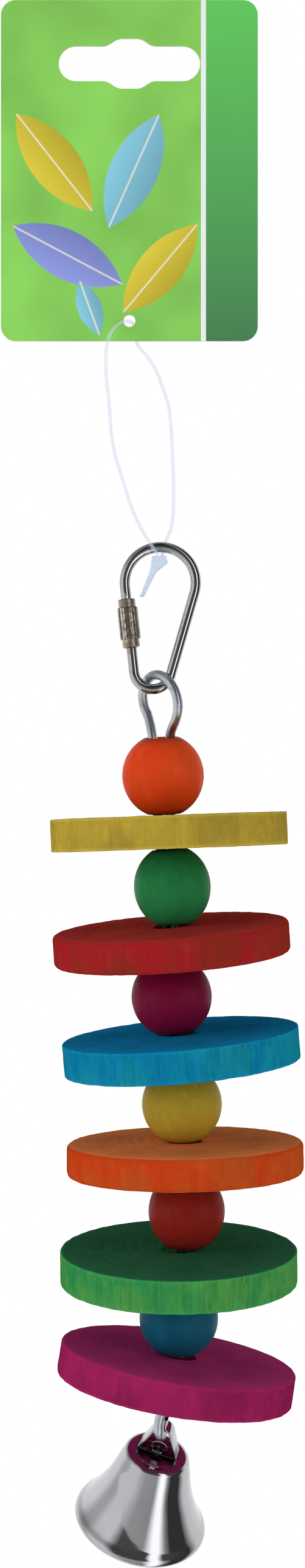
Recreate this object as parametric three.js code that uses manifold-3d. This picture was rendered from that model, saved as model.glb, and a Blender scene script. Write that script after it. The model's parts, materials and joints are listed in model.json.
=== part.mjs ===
// A hanging bird toy: drilled wooden balls and discs on a bent wire, with a bell below, a quick link above,
// and the header card that it hangs by. Millimetres, +Z up, the viewer looks along +Y.
// The origin is the top of the card's peg slot, where a display peg carries the whole toy.

import * as THREE from 'three';
import { mergeVertices } from 'three/addons/utils/BufferGeometryUtils.js';
import Module from 'manifold-3d';

const wasm = await Module();
wasm.setup();

// Header card
const CARD_WIDTH = 58.2;
const CARD_ABOVE_SLOT = 8.8;
const CARD_BELOW_SLOT = 68.5;
const CARD_THICK = 0.45;
const CARD_CORNER = 3.4;
const SLOT_LENGTH = 32;
const SLOT_HEIGHT = 7.9;
const BULGE_RISE = 1.7;
const BULGE_WIDTH = 12.4;
const PEG_FLAT = 3;
const TIE_HOLE_DIA = 2.7;
const TIE_HOLE_EDGE = 4.6;

// Nylon loop, and the lock that its two ends snap into
const LOOP_DIA = 0.8;
const LOOP_SIDES = 8;
const LOOP_STEPS = 56;
const LOCK_WIDTH = 3.5;
const LOCK_THICK = 2.6;
const LOCK_HEAD = 3.9;
const LOCK_BROW = 1.4;
const LOCK_CHEEK = 1.4;
const LOCK_HEEL = 2.2;
const LOCK_HEEL_DROP = 2.9;
const LOCK_WAIST = 1.5;
const LOCK_TAIL = 6;
const LOCK_TAIL_WIDTH = 0.9;
const LOCK_LEAN = THREE.MathUtils.degToRad(24);

// Quick link: a pear-shaped rod with a screw sleeve over the gap in its left side
const LINK_ROD_DIA = 2.4;
const LINK_TOP_RADIUS = 8.05;
const LINK_FOOT_RADIUS = 4.2;
const LINK_CENTRES = 20;
const LINK_SIDE = 0.1;
const LINK_TILT = THREE.MathUtils.degToRad(5);
const LINK_GAP = 4.2;
const LINK_GRIP = 1.5;
const SLEEVE_LENGTH = 11;
const SLEEVE_ABOVE_MIDDLE = 1.4;
const SLEEVE_COLLAR_DIA = 3.9;
const SLEEVE_COLLAR = 2.1;
const SLEEVE_FLUTED_DIA = 4.6;
const SLEEVE_FLUTES = 16;
const SLEEVE_FLUTE_DEPTH = 0.22;
const SLEEVE_CLEAR = 0.2;

// Wire: an eye round the link, two legs through the stack, and a narrow eye that carries the bell
const WIRE_DIA = 2.2;
const WIRE_SIDES = 8;
const WIRE_STEPS = 150;
const WIRE_BUTT_GAP = 1;
const EYE_RADIUS = 6;
const EYE_HEIGHT = 14;
const EYE_RISE = 0.9;
const EYE_SHIFT = new THREE.Vector2(0.85, -0.6);
const EYE_TURN = THREE.MathUtils.degToRad(50);
const EYE_LEAN = 0.9;
const NECK_HALF = 2.2;
const NECK_TURN = THREE.MathUtils.degToRad(25);
const LEG_HALF = 1.4;
const FOOT_TURN = THREE.MathUtils.degToRad(100);
const FOOT_HALF = 3.7;
const FOOT_FLARE = 5.6;
const FOOT_LENGTH = 13.456;
const FOOT_LEAN = -1.3;
const NECK_SIDE = 1.1;
const FOOT_SIDE = 0.3;
const BOW = 4.9;
const BOW_SKEW = 1.45;
const BOW_TAIL = 1.98;

// Stack: balls and discs in turn, from the top down
const BALL_DIA = 18;
const BALL_PLAY = 1.2;
const BALL_FLAT_RIM = 0.25;
const DISC_DIA = 53.7;
const DISC_THICK = 7.4;
const DISC_EDGE = 0.5;
const DISC_PLAY = 1.5;
const STACK_GAP = 0.15;

// How far each ball is over the common diameter, how much longer than round it is at each end, its share of
// the free play that it hangs to the right by, and its nod to the viewer in degrees
const BALLS = [
  { name: 'ball_orange', over: 0.5, long: 0.25, shift: 0.15, nod: 4, color: 0xc9451a },
  { name: 'ball_green', over: -0.6, long: 0.74, shift: 0.75, nod: 0, color: 0x1e6a38 },
  { name: 'ball_purple', over: 0.2, long: 0.08, shift: -0.8, nod: 1, color: 0x6a0f3e },
  { name: 'ball_yellow', over: 0.1, long: 0.08, shift: 0, nod: 0, color: 0xa18a24 },
  { name: 'ball_red', over: -0.7, long: 0.45, shift: 0.6, nod: 0, color: 0x7a1618 },
  { name: 'ball_blue', over: -0.2, long: -0.02, shift: 0.1, nod: 0, color: 0x0f5e86 },
];

// Each disc's roll, right side up, and nod to the viewer, in degrees, and its share of the free play
const DISCS = [
  { name: 'disc_yellow', roll: 2.05, nod: -1.25, shift: 0.6, color: 0xa8952a },
  { name: 'disc_red', roll: 4.3, nod: 2.6, shift: -0.1, color: 0xa5181f },
  { name: 'disc_blue', roll: 4.9, nod: 1.1, shift: 0.3, color: 0x0a6fa5 },
  { name: 'disc_orange', roll: 1, nod: -1.3, shift: 0.25, color: 0xc24a1c },
  { name: 'disc_green', roll: 0.3, nod: 2.7, shift: -0.45, color: 0x2f9a3f },
  { name: 'disc_magenta', roll: -8.7, nod: -1.9, shift: 0.5, color: 0x96164f },
];

// Bell, with the strip that it hangs by, and the rivet and clapper inside
const BELL_NOD = THREE.MathUtils.degToRad(20);
const BELL_ROLL = THREE.MathUtils.degToRad(15.6);
const BELL_CROWN_RADIUS = 6;
const BELL_SHOULDER_RADIUS = 7.7;
const BELL_WAIST_RADIUS = 9.85;
const BELL_RADIUS = 15.3;
const BELL_MOUTH_RADIUS = 14.6;
const BELL_HEIGHT = 20.6;
const BELL_WALL = 0.6;
const BELL_SHOULDER_ROUND = 0.5;
const BELL_SHOULDER_DROP = 1.7;
const BELL_WAIST_DROP = 9;
const BELL_LIP_DROP = 19.5;
const BELL_LIP_ROUND = 0.3;
// The flare from the waist to the lip: shares of the way out, at shares of the way down
const BELL_FLARE = [[0, 0], [0.23, 0.29], [0.48, 0.56], [0.74, 0.79], [1, 1]];
const STRIP_WIDTH = 3.6;
const STRIP_THICK = 0.5;
const STRIP_TURN = THREE.MathUtils.degToRad(-4);
const STRIP_BASE = 9.6;
const STRIP_HEIGHT = 6;
const STRIP_CORNER = 0.8;
const STRIP_TAB = 2.4;
const STRIP_APEX_CLEAR = 1;
const RIVET_SHANK_DIA = 2.4;
const RIVET_HEAD_DIA = 4;
const RIVET_HEAD = 0.8;
const RIVET_HEAD_EDGE = 0.5;
const RIVET_EYE_HOLE = 2.2;
const RIVET_EYE_RIM = 0.8;
const RIVET_EYE_THICK = 1;
const CLAPPER_WIRE_DIA = 1;
const CLAPPER_RING_RADIUS = 1.6;
const CLAPPER_RING_OPEN = THREE.MathUtils.degToRad(50);
const CLAPPER_NECK = 2.4;
const CLAPPER_DROP = 13;
const CLAPPER_BALL_DIA = 6.4;
const FIT_GAP = 0.25;

const WIRE_RADIUS = WIRE_DIA / 2;
const LINK_ROD_RADIUS = LINK_ROD_DIA / 2;
const Z_AXIS = new THREE.Vector3(0, 0, 1);

const nickel = { color: 0xb8b4ac, roughness: 0.22, metalness: 1 };
const brownedNickel = { color: 0x8c7a60, roughness: 0.35, metalness: 1 };
const galvanised = { color: 0xa9b1ba, roughness: 0.38, metalness: 1 };
const chrome = { color: 0xc4c6ca, roughness: 0.12, metalness: 1 };
const nylon = { color: 0xdfe7f2, roughness: 0.4, metalness: 0 };
const board = { color: 0x6cbf3f, roughness: 0.45, metalness: 0 };

function part(name, geometry, finish) {
  const mesh = new THREE.Mesh(geometry, new THREE.MeshStandardMaterial(finish));
  mesh.name = name;
  return mesh;
}

function dyedWood(color) {
  return { color, roughness: 0.62, metalness: 0 };
}

// A lathe turned so that its axis is Z; the profile is a list of [radius, height] that closes on itself
function turned(profile, segments) {
  const points = profile.map(([radius, height]) => new THREE.Vector2(radius, height));
  return new THREE.LatheGeometry(points, segments).rotateX(Math.PI / 2);
}

// A flat outline in the XZ plane, thickened evenly to both sides of it
function slab(shape, thickness, curveSegments) {
  const geometry = new THREE.ExtrudeGeometry(shape, { depth: thickness, bevelEnabled: false, curveSegments });
  return geometry.translate(0, 0, -thickness / 2).rotateX(Math.PI / 2);
}

function rod(curve, diameter, sides, steps) {
  const section = new THREE.Shape();
  for (let i = 0; i < sides; i += 1) {
    const angle = (2 * Math.PI * i) / sides;
    const point = [Math.cos(angle), Math.sin(angle)].map((value) => (value * diameter) / 2);
    if (i === 0) section.moveTo(...point);
    else section.lineTo(...point);
  }
  return new THREE.ExtrudeGeometry(section, { steps, bevelEnabled: false, extrudePath: curve });
}

function toManifold(geometry) {
  const bare = geometry.clone();
  bare.deleteAttribute('normal');
  bare.deleteAttribute('uv');
  const merged = mergeVertices(bare, 1e-4);
  const vertProperties = new Float32Array(merged.attributes.position.array);
  const triVerts = new Uint32Array(merged.index.array);
  return new wasm.Manifold(new wasm.Mesh({ numProp: 3, vertProperties, triVerts }));
}

function fromManifold(solid) {
  const mesh = solid.getMesh();
  const geometry = new THREE.BufferGeometry();
  geometry.setAttribute('position', new THREE.BufferAttribute(new Float32Array(mesh.vertProperties), 3));
  geometry.setIndex(new THREE.BufferAttribute(new Uint32Array(mesh.triVerts), 1));
  geometry.computeVertexNormals();
  return geometry;
}

// The angle on a circle at the origin where a line from the point (x, -depth) touches it, on the +X side
function tangentAngle(x, depth, radius) {
  return Math.acos(radius / Math.hypot(x, depth)) - Math.atan2(depth, x);
}

function slotOutline() {
  const end = SLOT_HEIGHT / 2;
  const top = -BULGE_RISE;
  const bottom = top - SLOT_HEIGHT;
  const straight = SLOT_LENGTH / 2 - end;
  const flat = PEG_FLAT / 2;
  const half = BULGE_WIDTH / 2;
  const middle = (flat + half) / 2;
  const outline = new THREE.Path();
  outline.moveTo(-flat, 0);
  outline.lineTo(flat, 0);
  outline.bezierCurveTo(middle, 0, middle, top, half, top);
  outline.lineTo(straight, top);
  outline.absarc(straight, top - end, end, Math.PI / 2, -Math.PI / 2, true);
  outline.lineTo(half, bottom);
  outline.bezierCurveTo(middle, bottom, middle, bottom - BULGE_RISE, flat, bottom - BULGE_RISE);
  outline.lineTo(-flat, bottom - BULGE_RISE);
  outline.bezierCurveTo(-middle, bottom - BULGE_RISE, -middle, bottom, -half, bottom);
  outline.lineTo(-straight, bottom);
  outline.absarc(-straight, top - end, end, -Math.PI / 2, -1.5 * Math.PI, true);
  outline.lineTo(-half, top);
  outline.bezierCurveTo(-middle, top, -middle, 0, -flat, 0);
  return outline;
}

const tieHoleZ = -CARD_BELOW_SLOT + TIE_HOLE_EDGE;

function headerCard() {
  const half = CARD_WIDTH / 2;
  const top = CARD_ABOVE_SLOT;
  const bottom = -CARD_BELOW_SLOT;
  const r = CARD_CORNER;
  const outline = new THREE.Shape();
  outline.absarc(half - r, top - r, r, 0, Math.PI / 2, false);
  outline.absarc(-half + r, top - r, r, Math.PI / 2, Math.PI, false);
  outline.absarc(-half + r, bottom + r, r, Math.PI, 1.5 * Math.PI, false);
  outline.absarc(half - r, bottom + r, r, 1.5 * Math.PI, 2 * Math.PI, false);
  const tieHole = new THREE.Path();
  tieHole.absarc(0, tieHoleZ, TIE_HOLE_DIA / 2, 0, 2 * Math.PI, true);
  outline.holes.push(slotOutline(), tieHole);
  return part('header_card', slab(outline, CARD_THICK, 8), board);
}

// The loop's route: from its lock up in front of the card, through the tie hole, and down behind to the lock
const LOOP_ROUTE = [
  [6.4, -0.85, -117.0],
  [5.9, -1.7, -116.2],
  [5.2, -2.05, -115.2],
  [3.9, -2.1, -113.3],
  [0.9, -1.9, -107.4],
  [-1.4, -1.7, -100.4],
  [-3.6, -1.6, -92.7],
  [-4.6, -1.6, -82.3],
  [-5.3, -1.6, -74.4],
  [-4.9, -1.6, -69.0],
  [-4.0, -1.55, -66.6],
  [-2.5, -1.25, -64.9],
  [-1.2, -0.9, -64.2],
  [0, 0, -64.1],
  [0.9, 0.95, -64.4],
  [1.3, 1.6, -66.2],
  [1.9, 1.7, -69.0],
  [4.0, 1.6, -71.6],
  [5.8, 1.6, -74.4],
  [7.8, 1.6, -79.4],
  [8.9, 1.6, -83.1],
  [9.4, 1.6, -87.5],
  [9.9, 1.6, -97.1],
  [10.0, 1.6, -101.5],
  [9.5, 1.7, -110.4],
  [8.2, 2.0, -113.7],
  [7.7, 2.05, -115.3],
  [7.6, 1.65, -116.2],
  [7.4, 0.85, -117.0],
].map((point) => new THREE.Vector3(...point));

const loopStart = LOOP_ROUTE[0];
const loopEnd = LOOP_ROUTE[LOOP_ROUTE.length - 1];

function tagLoop() {
  const curve = new THREE.CatmullRomCurve3(LOOP_ROUTE);
  return part('tag_loop', rod(curve, LOOP_DIA, LOOP_SIDES, LOOP_STEPS), nylon);
}

// A kite-shaped head with the trimmed end of the strand below it
function loopLock() {
  const half = LOCK_WIDTH / 2;
  const neck = LOCK_WAIST / 2;
  const tail = LOCK_TAIL_WIDTH / 2;
  const lean = new THREE.Vector2(-Math.sin(LOCK_LEAN), -Math.cos(LOCK_LEAN));
  const waist = lean.clone().multiplyScalar(LOCK_HEAD);
  const tip = lean.clone().multiplyScalar(LOCK_HEAD + LOCK_TAIL);
  const outline = new THREE.Shape();
  outline.moveTo(-half, 0);
  outline.lineTo(LOCK_BROW, 0);
  outline.lineTo(half, -LOCK_CHEEK);
  outline.lineTo(waist.x + neck, waist.y);
  outline.lineTo(tip.x + tail, tip.y);
  outline.lineTo(tip.x - tail, tip.y);
  outline.lineTo(waist.x - neck, waist.y);
  outline.lineTo(-LOCK_HEEL, -LOCK_HEEL_DROP);
  outline.closePath();
  const lock = part('loop_lock', slab(outline, LOCK_THICK, 4), nylon);
  lock.position.set((loopStart.x + loopEnd.x) / 2, 0, loopStart.z - FIT_GAP);
  return lock;
}

// A curve in the XZ plane that follows a flat path evenly along its length
class PlaneCurve extends THREE.Curve {
  constructor(path) {
    super();
    this.path = path;
  }

  getPoint(t, target = new THREE.Vector3()) {
    const flat = this.path.getPointAt(t);
    return target.set(flat.x, 0, flat.y);
  }
}

// The link's own frame has the centre of its wide top bend at the origin and the narrow foot straight below
const linkTaper = Math.asin((LINK_TOP_RADIUS - LINK_FOOT_RADIUS) / LINK_CENTRES);
const linkSide = Math.sqrt(LINK_CENTRES ** 2 - (LINK_TOP_RADIUS - LINK_FOOT_RADIUS) ** 2);
const sleeveStart = linkSide / 2 - SLEEVE_ABOVE_MIDDLE - SLEEVE_LENGTH / 2;

// A point on the link's left side, a distance below the end of the top bend
function onLeftSide(distance) {
  const x = -LINK_TOP_RADIUS * Math.cos(linkTaper) + distance * Math.sin(linkTaper);
  const z = -LINK_TOP_RADIUS * Math.sin(linkTaper) - distance * Math.cos(linkTaper);
  return new THREE.Vector2(x, z);
}

function linkBody() {
  const upperEnd = onLeftSide(sleeveStart + LINK_GRIP);
  const lowerEnd = onLeftSide(sleeveStart + LINK_GRIP + LINK_GAP);
  const path = new THREE.Path();
  path.moveTo(upperEnd.x, upperEnd.y);
  path.lineTo(...onLeftSide(0).toArray());
  path.absarc(0, 0, LINK_TOP_RADIUS, Math.PI + linkTaper, -linkTaper, true);
  path.absarc(0, -LINK_CENTRES, LINK_FOOT_RADIUS, -linkTaper, -Math.PI + linkTaper, true);
  path.lineTo(lowerEnd.x, lowerEnd.y);
  return part('link_body', rod(new PlaneCurve(path), LINK_ROD_DIA, 10, 48), nickel);
}

function linkSleeve() {
  const bore = LINK_ROD_RADIUS + SLEEVE_CLEAR;
  const ring = (radiusAt, from, length) => {
    const outline = new THREE.Shape();
    const points = SLEEVE_FLUTES * 2;
    for (let i = 0; i < points; i += 1) {
      const angle = (2 * Math.PI * i) / points;
      outline[i === 0 ? 'moveTo' : 'lineTo'](radiusAt(i) * Math.cos(angle), radiusAt(i) * Math.sin(angle));
    }
    const hole = new THREE.Path();
    hole.absarc(0, 0, bore, 0, 2 * Math.PI, true);
    outline.holes.push(hole);
    const settings = { depth: length, bevelEnabled: false, curveSegments: 12 };
    return toManifold(new THREE.ExtrudeGeometry(outline, settings).translate(0, 0, from));
  };
  const smooth = () => SLEEVE_COLLAR_DIA / 2;
  const fluted = (i) => SLEEVE_FLUTED_DIA / 2 - (i % 2) * SLEEVE_FLUTE_DEPTH;
  const tube = ring(smooth, -SLEEVE_LENGTH / 2, SLEEVE_LENGTH);
  const grip = ring(fluted, -SLEEVE_LENGTH / 2 + SLEEVE_COLLAR, SLEEVE_LENGTH - 2 * SLEEVE_COLLAR);
  const sleeve = part('link_sleeve', fromManifold(tube.add(grip)), brownedNickel);
  const middle = onLeftSide(sleeveStart + SLEEVE_LENGTH / 2);
  sleeve.position.set(middle.x, 0, middle.y);
  sleeve.rotation.y = -linkTaper;
  return sleeve;
}

const quickLink = new THREE.Group();
quickLink.position.set((loopStart.x + loopEnd.x) / 2 + LINK_SIDE, 0, 0);
quickLink.position.z = loopStart.z + FIT_GAP + LOOP_DIA / 2 + LINK_ROD_RADIUS - LINK_TOP_RADIUS;
quickLink.rotation.y = LINK_TILT;
quickLink.add(linkBody(), linkSleeve());
quickLink.updateMatrixWorld();

// Where the wire's eye hangs on the link's foot, and the neck where its legs enter the stack
const linkFoot = new THREE.Vector3(0, 0, -LINK_CENTRES).applyMatrix4(quickLink.matrixWorld);
const eyeTopZ = linkFoot.z - LINK_FOOT_RADIUS + LINK_ROD_RADIUS + WIRE_RADIUS + EYE_RISE;
const eyeCentre = new THREE.Vector3(linkFoot.x + EYE_SHIFT.x, EYE_SHIFT.y, eyeTopZ - EYE_RADIUS);
const neckZ = eyeTopZ - EYE_HEIGHT;
const neckX = eyeCentre.x + NECK_SIDE;

const ballBore = LEG_HALF + WIRE_RADIUS + BALL_PLAY;
const ballFlat = ballBore + BALL_FLAT_RIM;
const discBore = LEG_HALF + WIRE_RADIUS + DISC_PLAY;

function ballRadius(ball) {
  return (BALL_DIA + ball.over) / 2;
}

// Half the height of a round ball between its drilled flats, and of the ball as it was turned
function roundHalfHeight(ball) {
  return Math.sqrt(ballRadius(ball) ** 2 - ballFlat ** 2);
}

function ballHalfHeight(ball) {
  return roundHalfHeight(ball) + ball.long;
}

// The stack's height with its pieces level, which the wire's bow is spread along
const levelHeight = BALLS.reduce((sum, ball) => sum + 2 * ballHalfHeight(ball), 0)
  + DISCS.length * DISC_THICK + (BALLS.length + DISCS.length) * STACK_GAP * 2;
const wireSpan = levelHeight + FOOT_LENGTH + BOW_TAIL;

// The middle of the wire's two legs at a height, bowed to the right in a skewed half wave
function legMiddle(z) {
  const t = THREE.MathUtils.clamp((neckZ - z) / wireSpan, 0, 1);
  return neckX + FOOT_SIDE * t + BOW * Math.sin(Math.PI * t ** BOW_SKEW);
}

function legSlope(z) {
  return legMiddle(z - 0.5) - legMiddle(z + 0.5);
}

// Direction of a piece's drilled axis, from how far its right side is up and its top nods to the viewer
function drilledAxis(roll, nod) {
  return Z_AXIS.clone().applyEuler(new THREE.Euler(nod, -roll, 0));
}

// How far a ball's drilled flat reaches towards a face that leans away from it
function ballReach(ball, ballAxis, faceAxis) {
  const cos = ballAxis.dot(faceAxis);
  return ballHalfHeight(ball) * cos + ballFlat * Math.sqrt(Math.max(0, 1 - cos * cos));
}

// Set each ball on the disc below it, and each disc on the ball below it, STACK_GAP apart
function placeStack() {
  const stack = [];
  let z = neckZ - ballHalfHeight(BALLS[0]) - STACK_GAP;
  let faceBefore = null;
  BALLS.forEach((ball, i) => {
    const disc = DISCS[i];
    const discAxis = drilledAxis(THREE.MathUtils.degToRad(disc.roll), THREE.MathUtils.degToRad(disc.nod));
    if (faceBefore) {
      const leaned = drilledAxis(Math.atan(legSlope(z)), THREE.MathUtils.degToRad(ball.nod));
      const x = legMiddle(z - ballRadius(ball)) + ball.shift * BALL_PLAY;
      const lift = (x - faceBefore.x) * faceBefore.axis.x;
      z -= (DISC_THICK / 2 + STACK_GAP + ballReach(ball, leaned, faceBefore.axis) + lift) / faceBefore.axis.z;
    }
    const ballAxis = drilledAxis(Math.atan(legSlope(z)), THREE.MathUtils.degToRad(ball.nod));
    const ballX = legMiddle(z) + ball.shift * BALL_PLAY;
    stack.push({ ...ball, x: ballX, z, roll: Math.atan(legSlope(z)), axis: ballAxis });
    const reach = ballReach(ball, ballAxis, discAxis);
    const below = z - reach - DISC_THICK / 2 - STACK_GAP;
    const discX = legMiddle(below) + disc.shift * DISC_PLAY;
    const lift = (discX - ballX) * discAxis.x;
    z -= (DISC_THICK / 2 + STACK_GAP + reach + lift) / discAxis.z;
    stack.push({ ...disc, x: discX, z, roll: THREE.MathUtils.degToRad(disc.roll), axis: discAxis });
    faceBefore = { x: discX, axis: discAxis };
  });
  return stack;
}

const stack = placeStack();

function woodenBall(ball) {
  const radius = ballRadius(ball);
  const round = roundHalfHeight(ball);
  const half = ballHalfHeight(ball);
  const pole = Math.asin(round / radius);
  const profile = [[ballBore, -half]];
  const rings = 8;
  for (let i = 0; i <= rings; i += 1) {
    const angle = -pole + (2 * pole * i) / rings;
    profile.push([radius * Math.cos(angle), (radius * Math.sin(angle) * half) / round]);
  }
  profile.push([ballBore, half], [ballBore, -half]);
  return part(ball.name, turned(profile, 24), dyedWood(ball.color));
}

function woodenDisc(disc) {
  const half = DISC_THICK / 2;
  const rim = DISC_DIA / 2;
  const profile = [
    [discBore, -half],
    [rim - DISC_EDGE, -half],
    [rim, -half + DISC_EDGE],
    [rim, half - DISC_EDGE],
    [rim - DISC_EDGE, half],
    [discBore, half],
    [discBore, -half],
  ];
  return part(disc.name, turned(profile, 36), dyedWood(disc.color));
}

function threadedPieces() {
  return stack.map((piece) => {
    const mesh = 'over' in piece ? woodenBall(piece) : woodenDisc(piece);
    mesh.position.set(piece.x, 0, piece.z);
    mesh.rotation.set(THREE.MathUtils.degToRad(piece.nod), -piece.roll, 0);
    return mesh;
  });
}

// The wire's foot flares out under the lowest disc, which rests on it
const lowestDisc = stack[stack.length - 1];
const flareSlope = (FOOT_HALF - LEG_HALF) / FOOT_FLARE;
const rimHalf = discBore - (WIRE_RADIUS + FIT_GAP) / Math.cos(Math.atan(flareSlope));
const flareTopZ = lowestDisc.z - DISC_THICK / 2 + (rimHalf - LEG_HALF) / flareSlope - STACK_GAP;
const bendZ = flareTopZ - FOOT_LENGTH + FOOT_HALF;
const bendCentre = new THREE.Vector3(footMiddle(bendZ), 0, bendZ);

// The middle of the two legs below the start of the flare, where the foot leans to one side
function footMiddle(z) {
  return legMiddle(z) + (FOOT_LEAN * (flareTopZ - z)) / (flareTopZ - bendZ);
}

// A point of the wire: its height, its half spacing to one side, and the turn of the plane of the two legs
function wirePoint(x, y, z, half, turn) {
  return new THREE.Vector3(x + half * Math.cos(turn), y - half * Math.sin(turn), z);
}

// One leg, from the neck down to where the flare starts; side is 1 for the leg that is in front at the foot
function legPoints(side) {
  const points = [];
  const steps = 14;
  for (let i = 1; i <= steps; i += 1) {
    const t = i / steps;
    const z = THREE.MathUtils.lerp(neckZ, flareTopZ, t);
    const half = LEG_HALF + (NECK_HALF - LEG_HALF) * (1 - t) ** 8;
    const turn = THREE.MathUtils.lerp(NECK_TURN, FOOT_TURN, t);
    points.push(wirePoint(legMiddle(z), 0, z, side * half, turn));
  }
  return points;
}

// The top eye, from the front leg's neck over the link's foot to the back leg's neck
function topEyePoints() {
  const touch = tangentAngle(NECK_HALF, eyeCentre.z - neckZ, EYE_RADIUS);
  const points = [wirePoint(neckX, 0, neckZ, NECK_HALF, NECK_TURN)];
  const steps = 12;
  for (let i = 0; i <= steps; i += 1) {
    const angle = THREE.MathUtils.lerp(touch, Math.PI - touch, i / steps);
    const half = EYE_RADIUS * Math.cos(angle);
    const z = eyeCentre.z + EYE_RADIUS * Math.sin(angle);
    const lean = EYE_LEAN * (1 - Math.sin(angle));
    points.push(wirePoint(eyeCentre.x + lean, eyeCentre.y, z, half, EYE_TURN));
  }
  points.push(wirePoint(neckX, 0, neckZ, -NECK_HALF, NECK_TURN));
  return points;
}

// The foot, from the back leg under the bell's strip to the front leg
function footPoints() {
  const points = [];
  const flareFootZ = flareTopZ - FOOT_FLARE;
  points.push(wirePoint(footMiddle(flareFootZ), 0, flareFootZ, -FOOT_HALF, FOOT_TURN));
  const steps = 10;
  for (let i = 0; i <= steps; i += 1) {
    const angle = Math.PI + (Math.PI * i) / steps;
    const z = bendZ + FOOT_HALF * Math.sin(angle);
    points.push(wirePoint(bendCentre.x, 0, z, FOOT_HALF * Math.cos(angle), FOOT_TURN));
  }
  points.push(wirePoint(footMiddle(flareFootZ), 0, flareFootZ, FOOT_HALF, FOOT_TURN));
  return points;
}

// One wire whose two ends butt together inside a ball, where the bore hides them
function wireHanger() {
  const front = legPoints(1);
  const back = legPoints(-1);
  const hidden = stack.find((piece) => piece.name === 'ball_yellow').z;
  const above = front.filter((point) => point.z > hidden + WIRE_DIA);
  const below = front.filter((point) => point.z < hidden - WIRE_DIA);
  const endAt = (z) => {
    const turn = THREE.MathUtils.lerp(NECK_TURN, FOOT_TURN, (neckZ - z) / (neckZ - flareTopZ));
    return wirePoint(legMiddle(z), 0, z, LEG_HALF, turn);
  };
  const route = [
    endAt(hidden + WIRE_BUTT_GAP / 2),
    ...above.reverse(),
    ...topEyePoints(),
    ...back,
    ...footPoints(),
    ...below.reverse(),
    endAt(hidden - WIRE_BUTT_GAP / 2),
  ];
  const curve = new THREE.CatmullRomCurve3(route);
  return part('wire_hanger', rod(curve, WIRE_DIA, WIRE_SIDES, WIRE_STEPS), galvanised);
}

// The bell hangs under the wire's bend; its own frame has the bend's wire at the origin and its axis along Z
const apexRadius = WIRE_RADIUS + STRIP_APEX_CLEAR;
const stripFloor = apexRadius - STRIP_HEIGHT - STRIP_THICK;
const crownTop = stripFloor - STRIP_THICK - FIT_GAP;
const shankClear = RIVET_SHANK_DIA / 2 + FIT_GAP;

function bellShell() {
  const outer = new THREE.SplineCurve([
    [BELL_CROWN_RADIUS, 0],
    [BELL_SHOULDER_RADIUS - BELL_SHOULDER_ROUND, -BELL_SHOULDER_DROP / 3],
    [BELL_SHOULDER_RADIUS, -BELL_SHOULDER_DROP],
    ...BELL_FLARE.map(([out, down]) => [
      THREE.MathUtils.lerp(BELL_WAIST_RADIUS, BELL_RADIUS, out),
      -THREE.MathUtils.lerp(BELL_WAIST_DROP, BELL_LIP_DROP, down),
    ]),
    [BELL_RADIUS - BELL_LIP_ROUND, -(BELL_LIP_DROP + BELL_HEIGHT * 2) / 3],
    [BELL_MOUTH_RADIUS, -BELL_HEIGHT],
  ].map(([radius, height]) => new THREE.Vector2(radius, height)));
  const steps = 16;
  const outside = [];
  const inside = [];
  for (let i = 0; i <= steps; i += 1) {
    const point = outer.getPoint(i / steps);
    const tangent = outer.getTangent(i / steps);
    const inward = new THREE.Vector2(tangent.y, -tangent.x);
    outside.push(point.toArray());
    inside.push(point.clone().addScaledVector(inward, BELL_WALL).toArray());
  }
  const profile = [
    [shankClear, -BELL_WALL],
    ...inside,
    ...outside.reverse(),
    [shankClear, 0],
    [shankClear, -BELL_WALL],
  ];
  const shell = part('bell_shell', turned(profile, 32), chrome);
  shell.position.z = crownTop;
  return shell;
}

function bellBracket() {
  const outerHalf = STRIP_BASE / 2;
  const innerHalf = outerHalf - STRIP_CORNER;
  const outerRadius = apexRadius + STRIP_THICK;
  const outerTouch = tangentAngle(outerHalf, STRIP_THICK - stripFloor, outerRadius);
  const innerTouch = tangentAngle(innerHalf, -stripFloor, apexRadius);
  const tabFoot = Math.acos(STRIP_THICK / outerRadius);
  const tabTop = outerRadius + STRIP_TAB;
  const outline = new THREE.Shape();
  outline.moveTo(-outerHalf, stripFloor - STRIP_THICK);
  outline.lineTo(outerHalf, stripFloor - STRIP_THICK);
  outline.absarc(0, 0, outerRadius, outerTouch, tabFoot, false);
  outline.lineTo(STRIP_THICK, tabTop);
  outline.lineTo(-STRIP_THICK, tabTop);
  outline.absarc(0, 0, outerRadius, Math.PI - tabFoot, Math.PI - outerTouch, false);
  outline.closePath();
  const hole = new THREE.Path();
  hole.moveTo(-innerHalf, stripFloor);
  hole.lineTo(innerHalf, stripFloor);
  hole.absarc(0, 0, apexRadius, innerTouch, Math.PI - innerTouch, false);
  hole.closePath();
  outline.holes.push(hole);
  const strip = toManifold(slab(outline, STRIP_WIDTH, 6));
  const drill = new THREE.CylinderGeometry(shankClear, shankClear, 4 * STRIP_THICK, 16).rotateX(Math.PI / 2);
  drill.translate(0, 0, stripFloor - STRIP_THICK / 2);
  return part('bell_bracket', fromManifold(strip.subtract(toManifold(drill))), chrome);
}

// The rivet's eye stands across the hinge inside the crown, with the clapper's ring through it
const rivetTop = stripFloor + FIT_GAP;
const eyeOuter = RIVET_EYE_HOLE / 2 + RIVET_EYE_RIM;
const rivetEyeZ = crownTop - BELL_WALL - FIT_GAP - eyeOuter;
const clapperPivotZ = rivetEyeZ - RIVET_EYE_HOLE / 2 + CLAPPER_WIRE_DIA / 2 + FIT_GAP;

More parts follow.
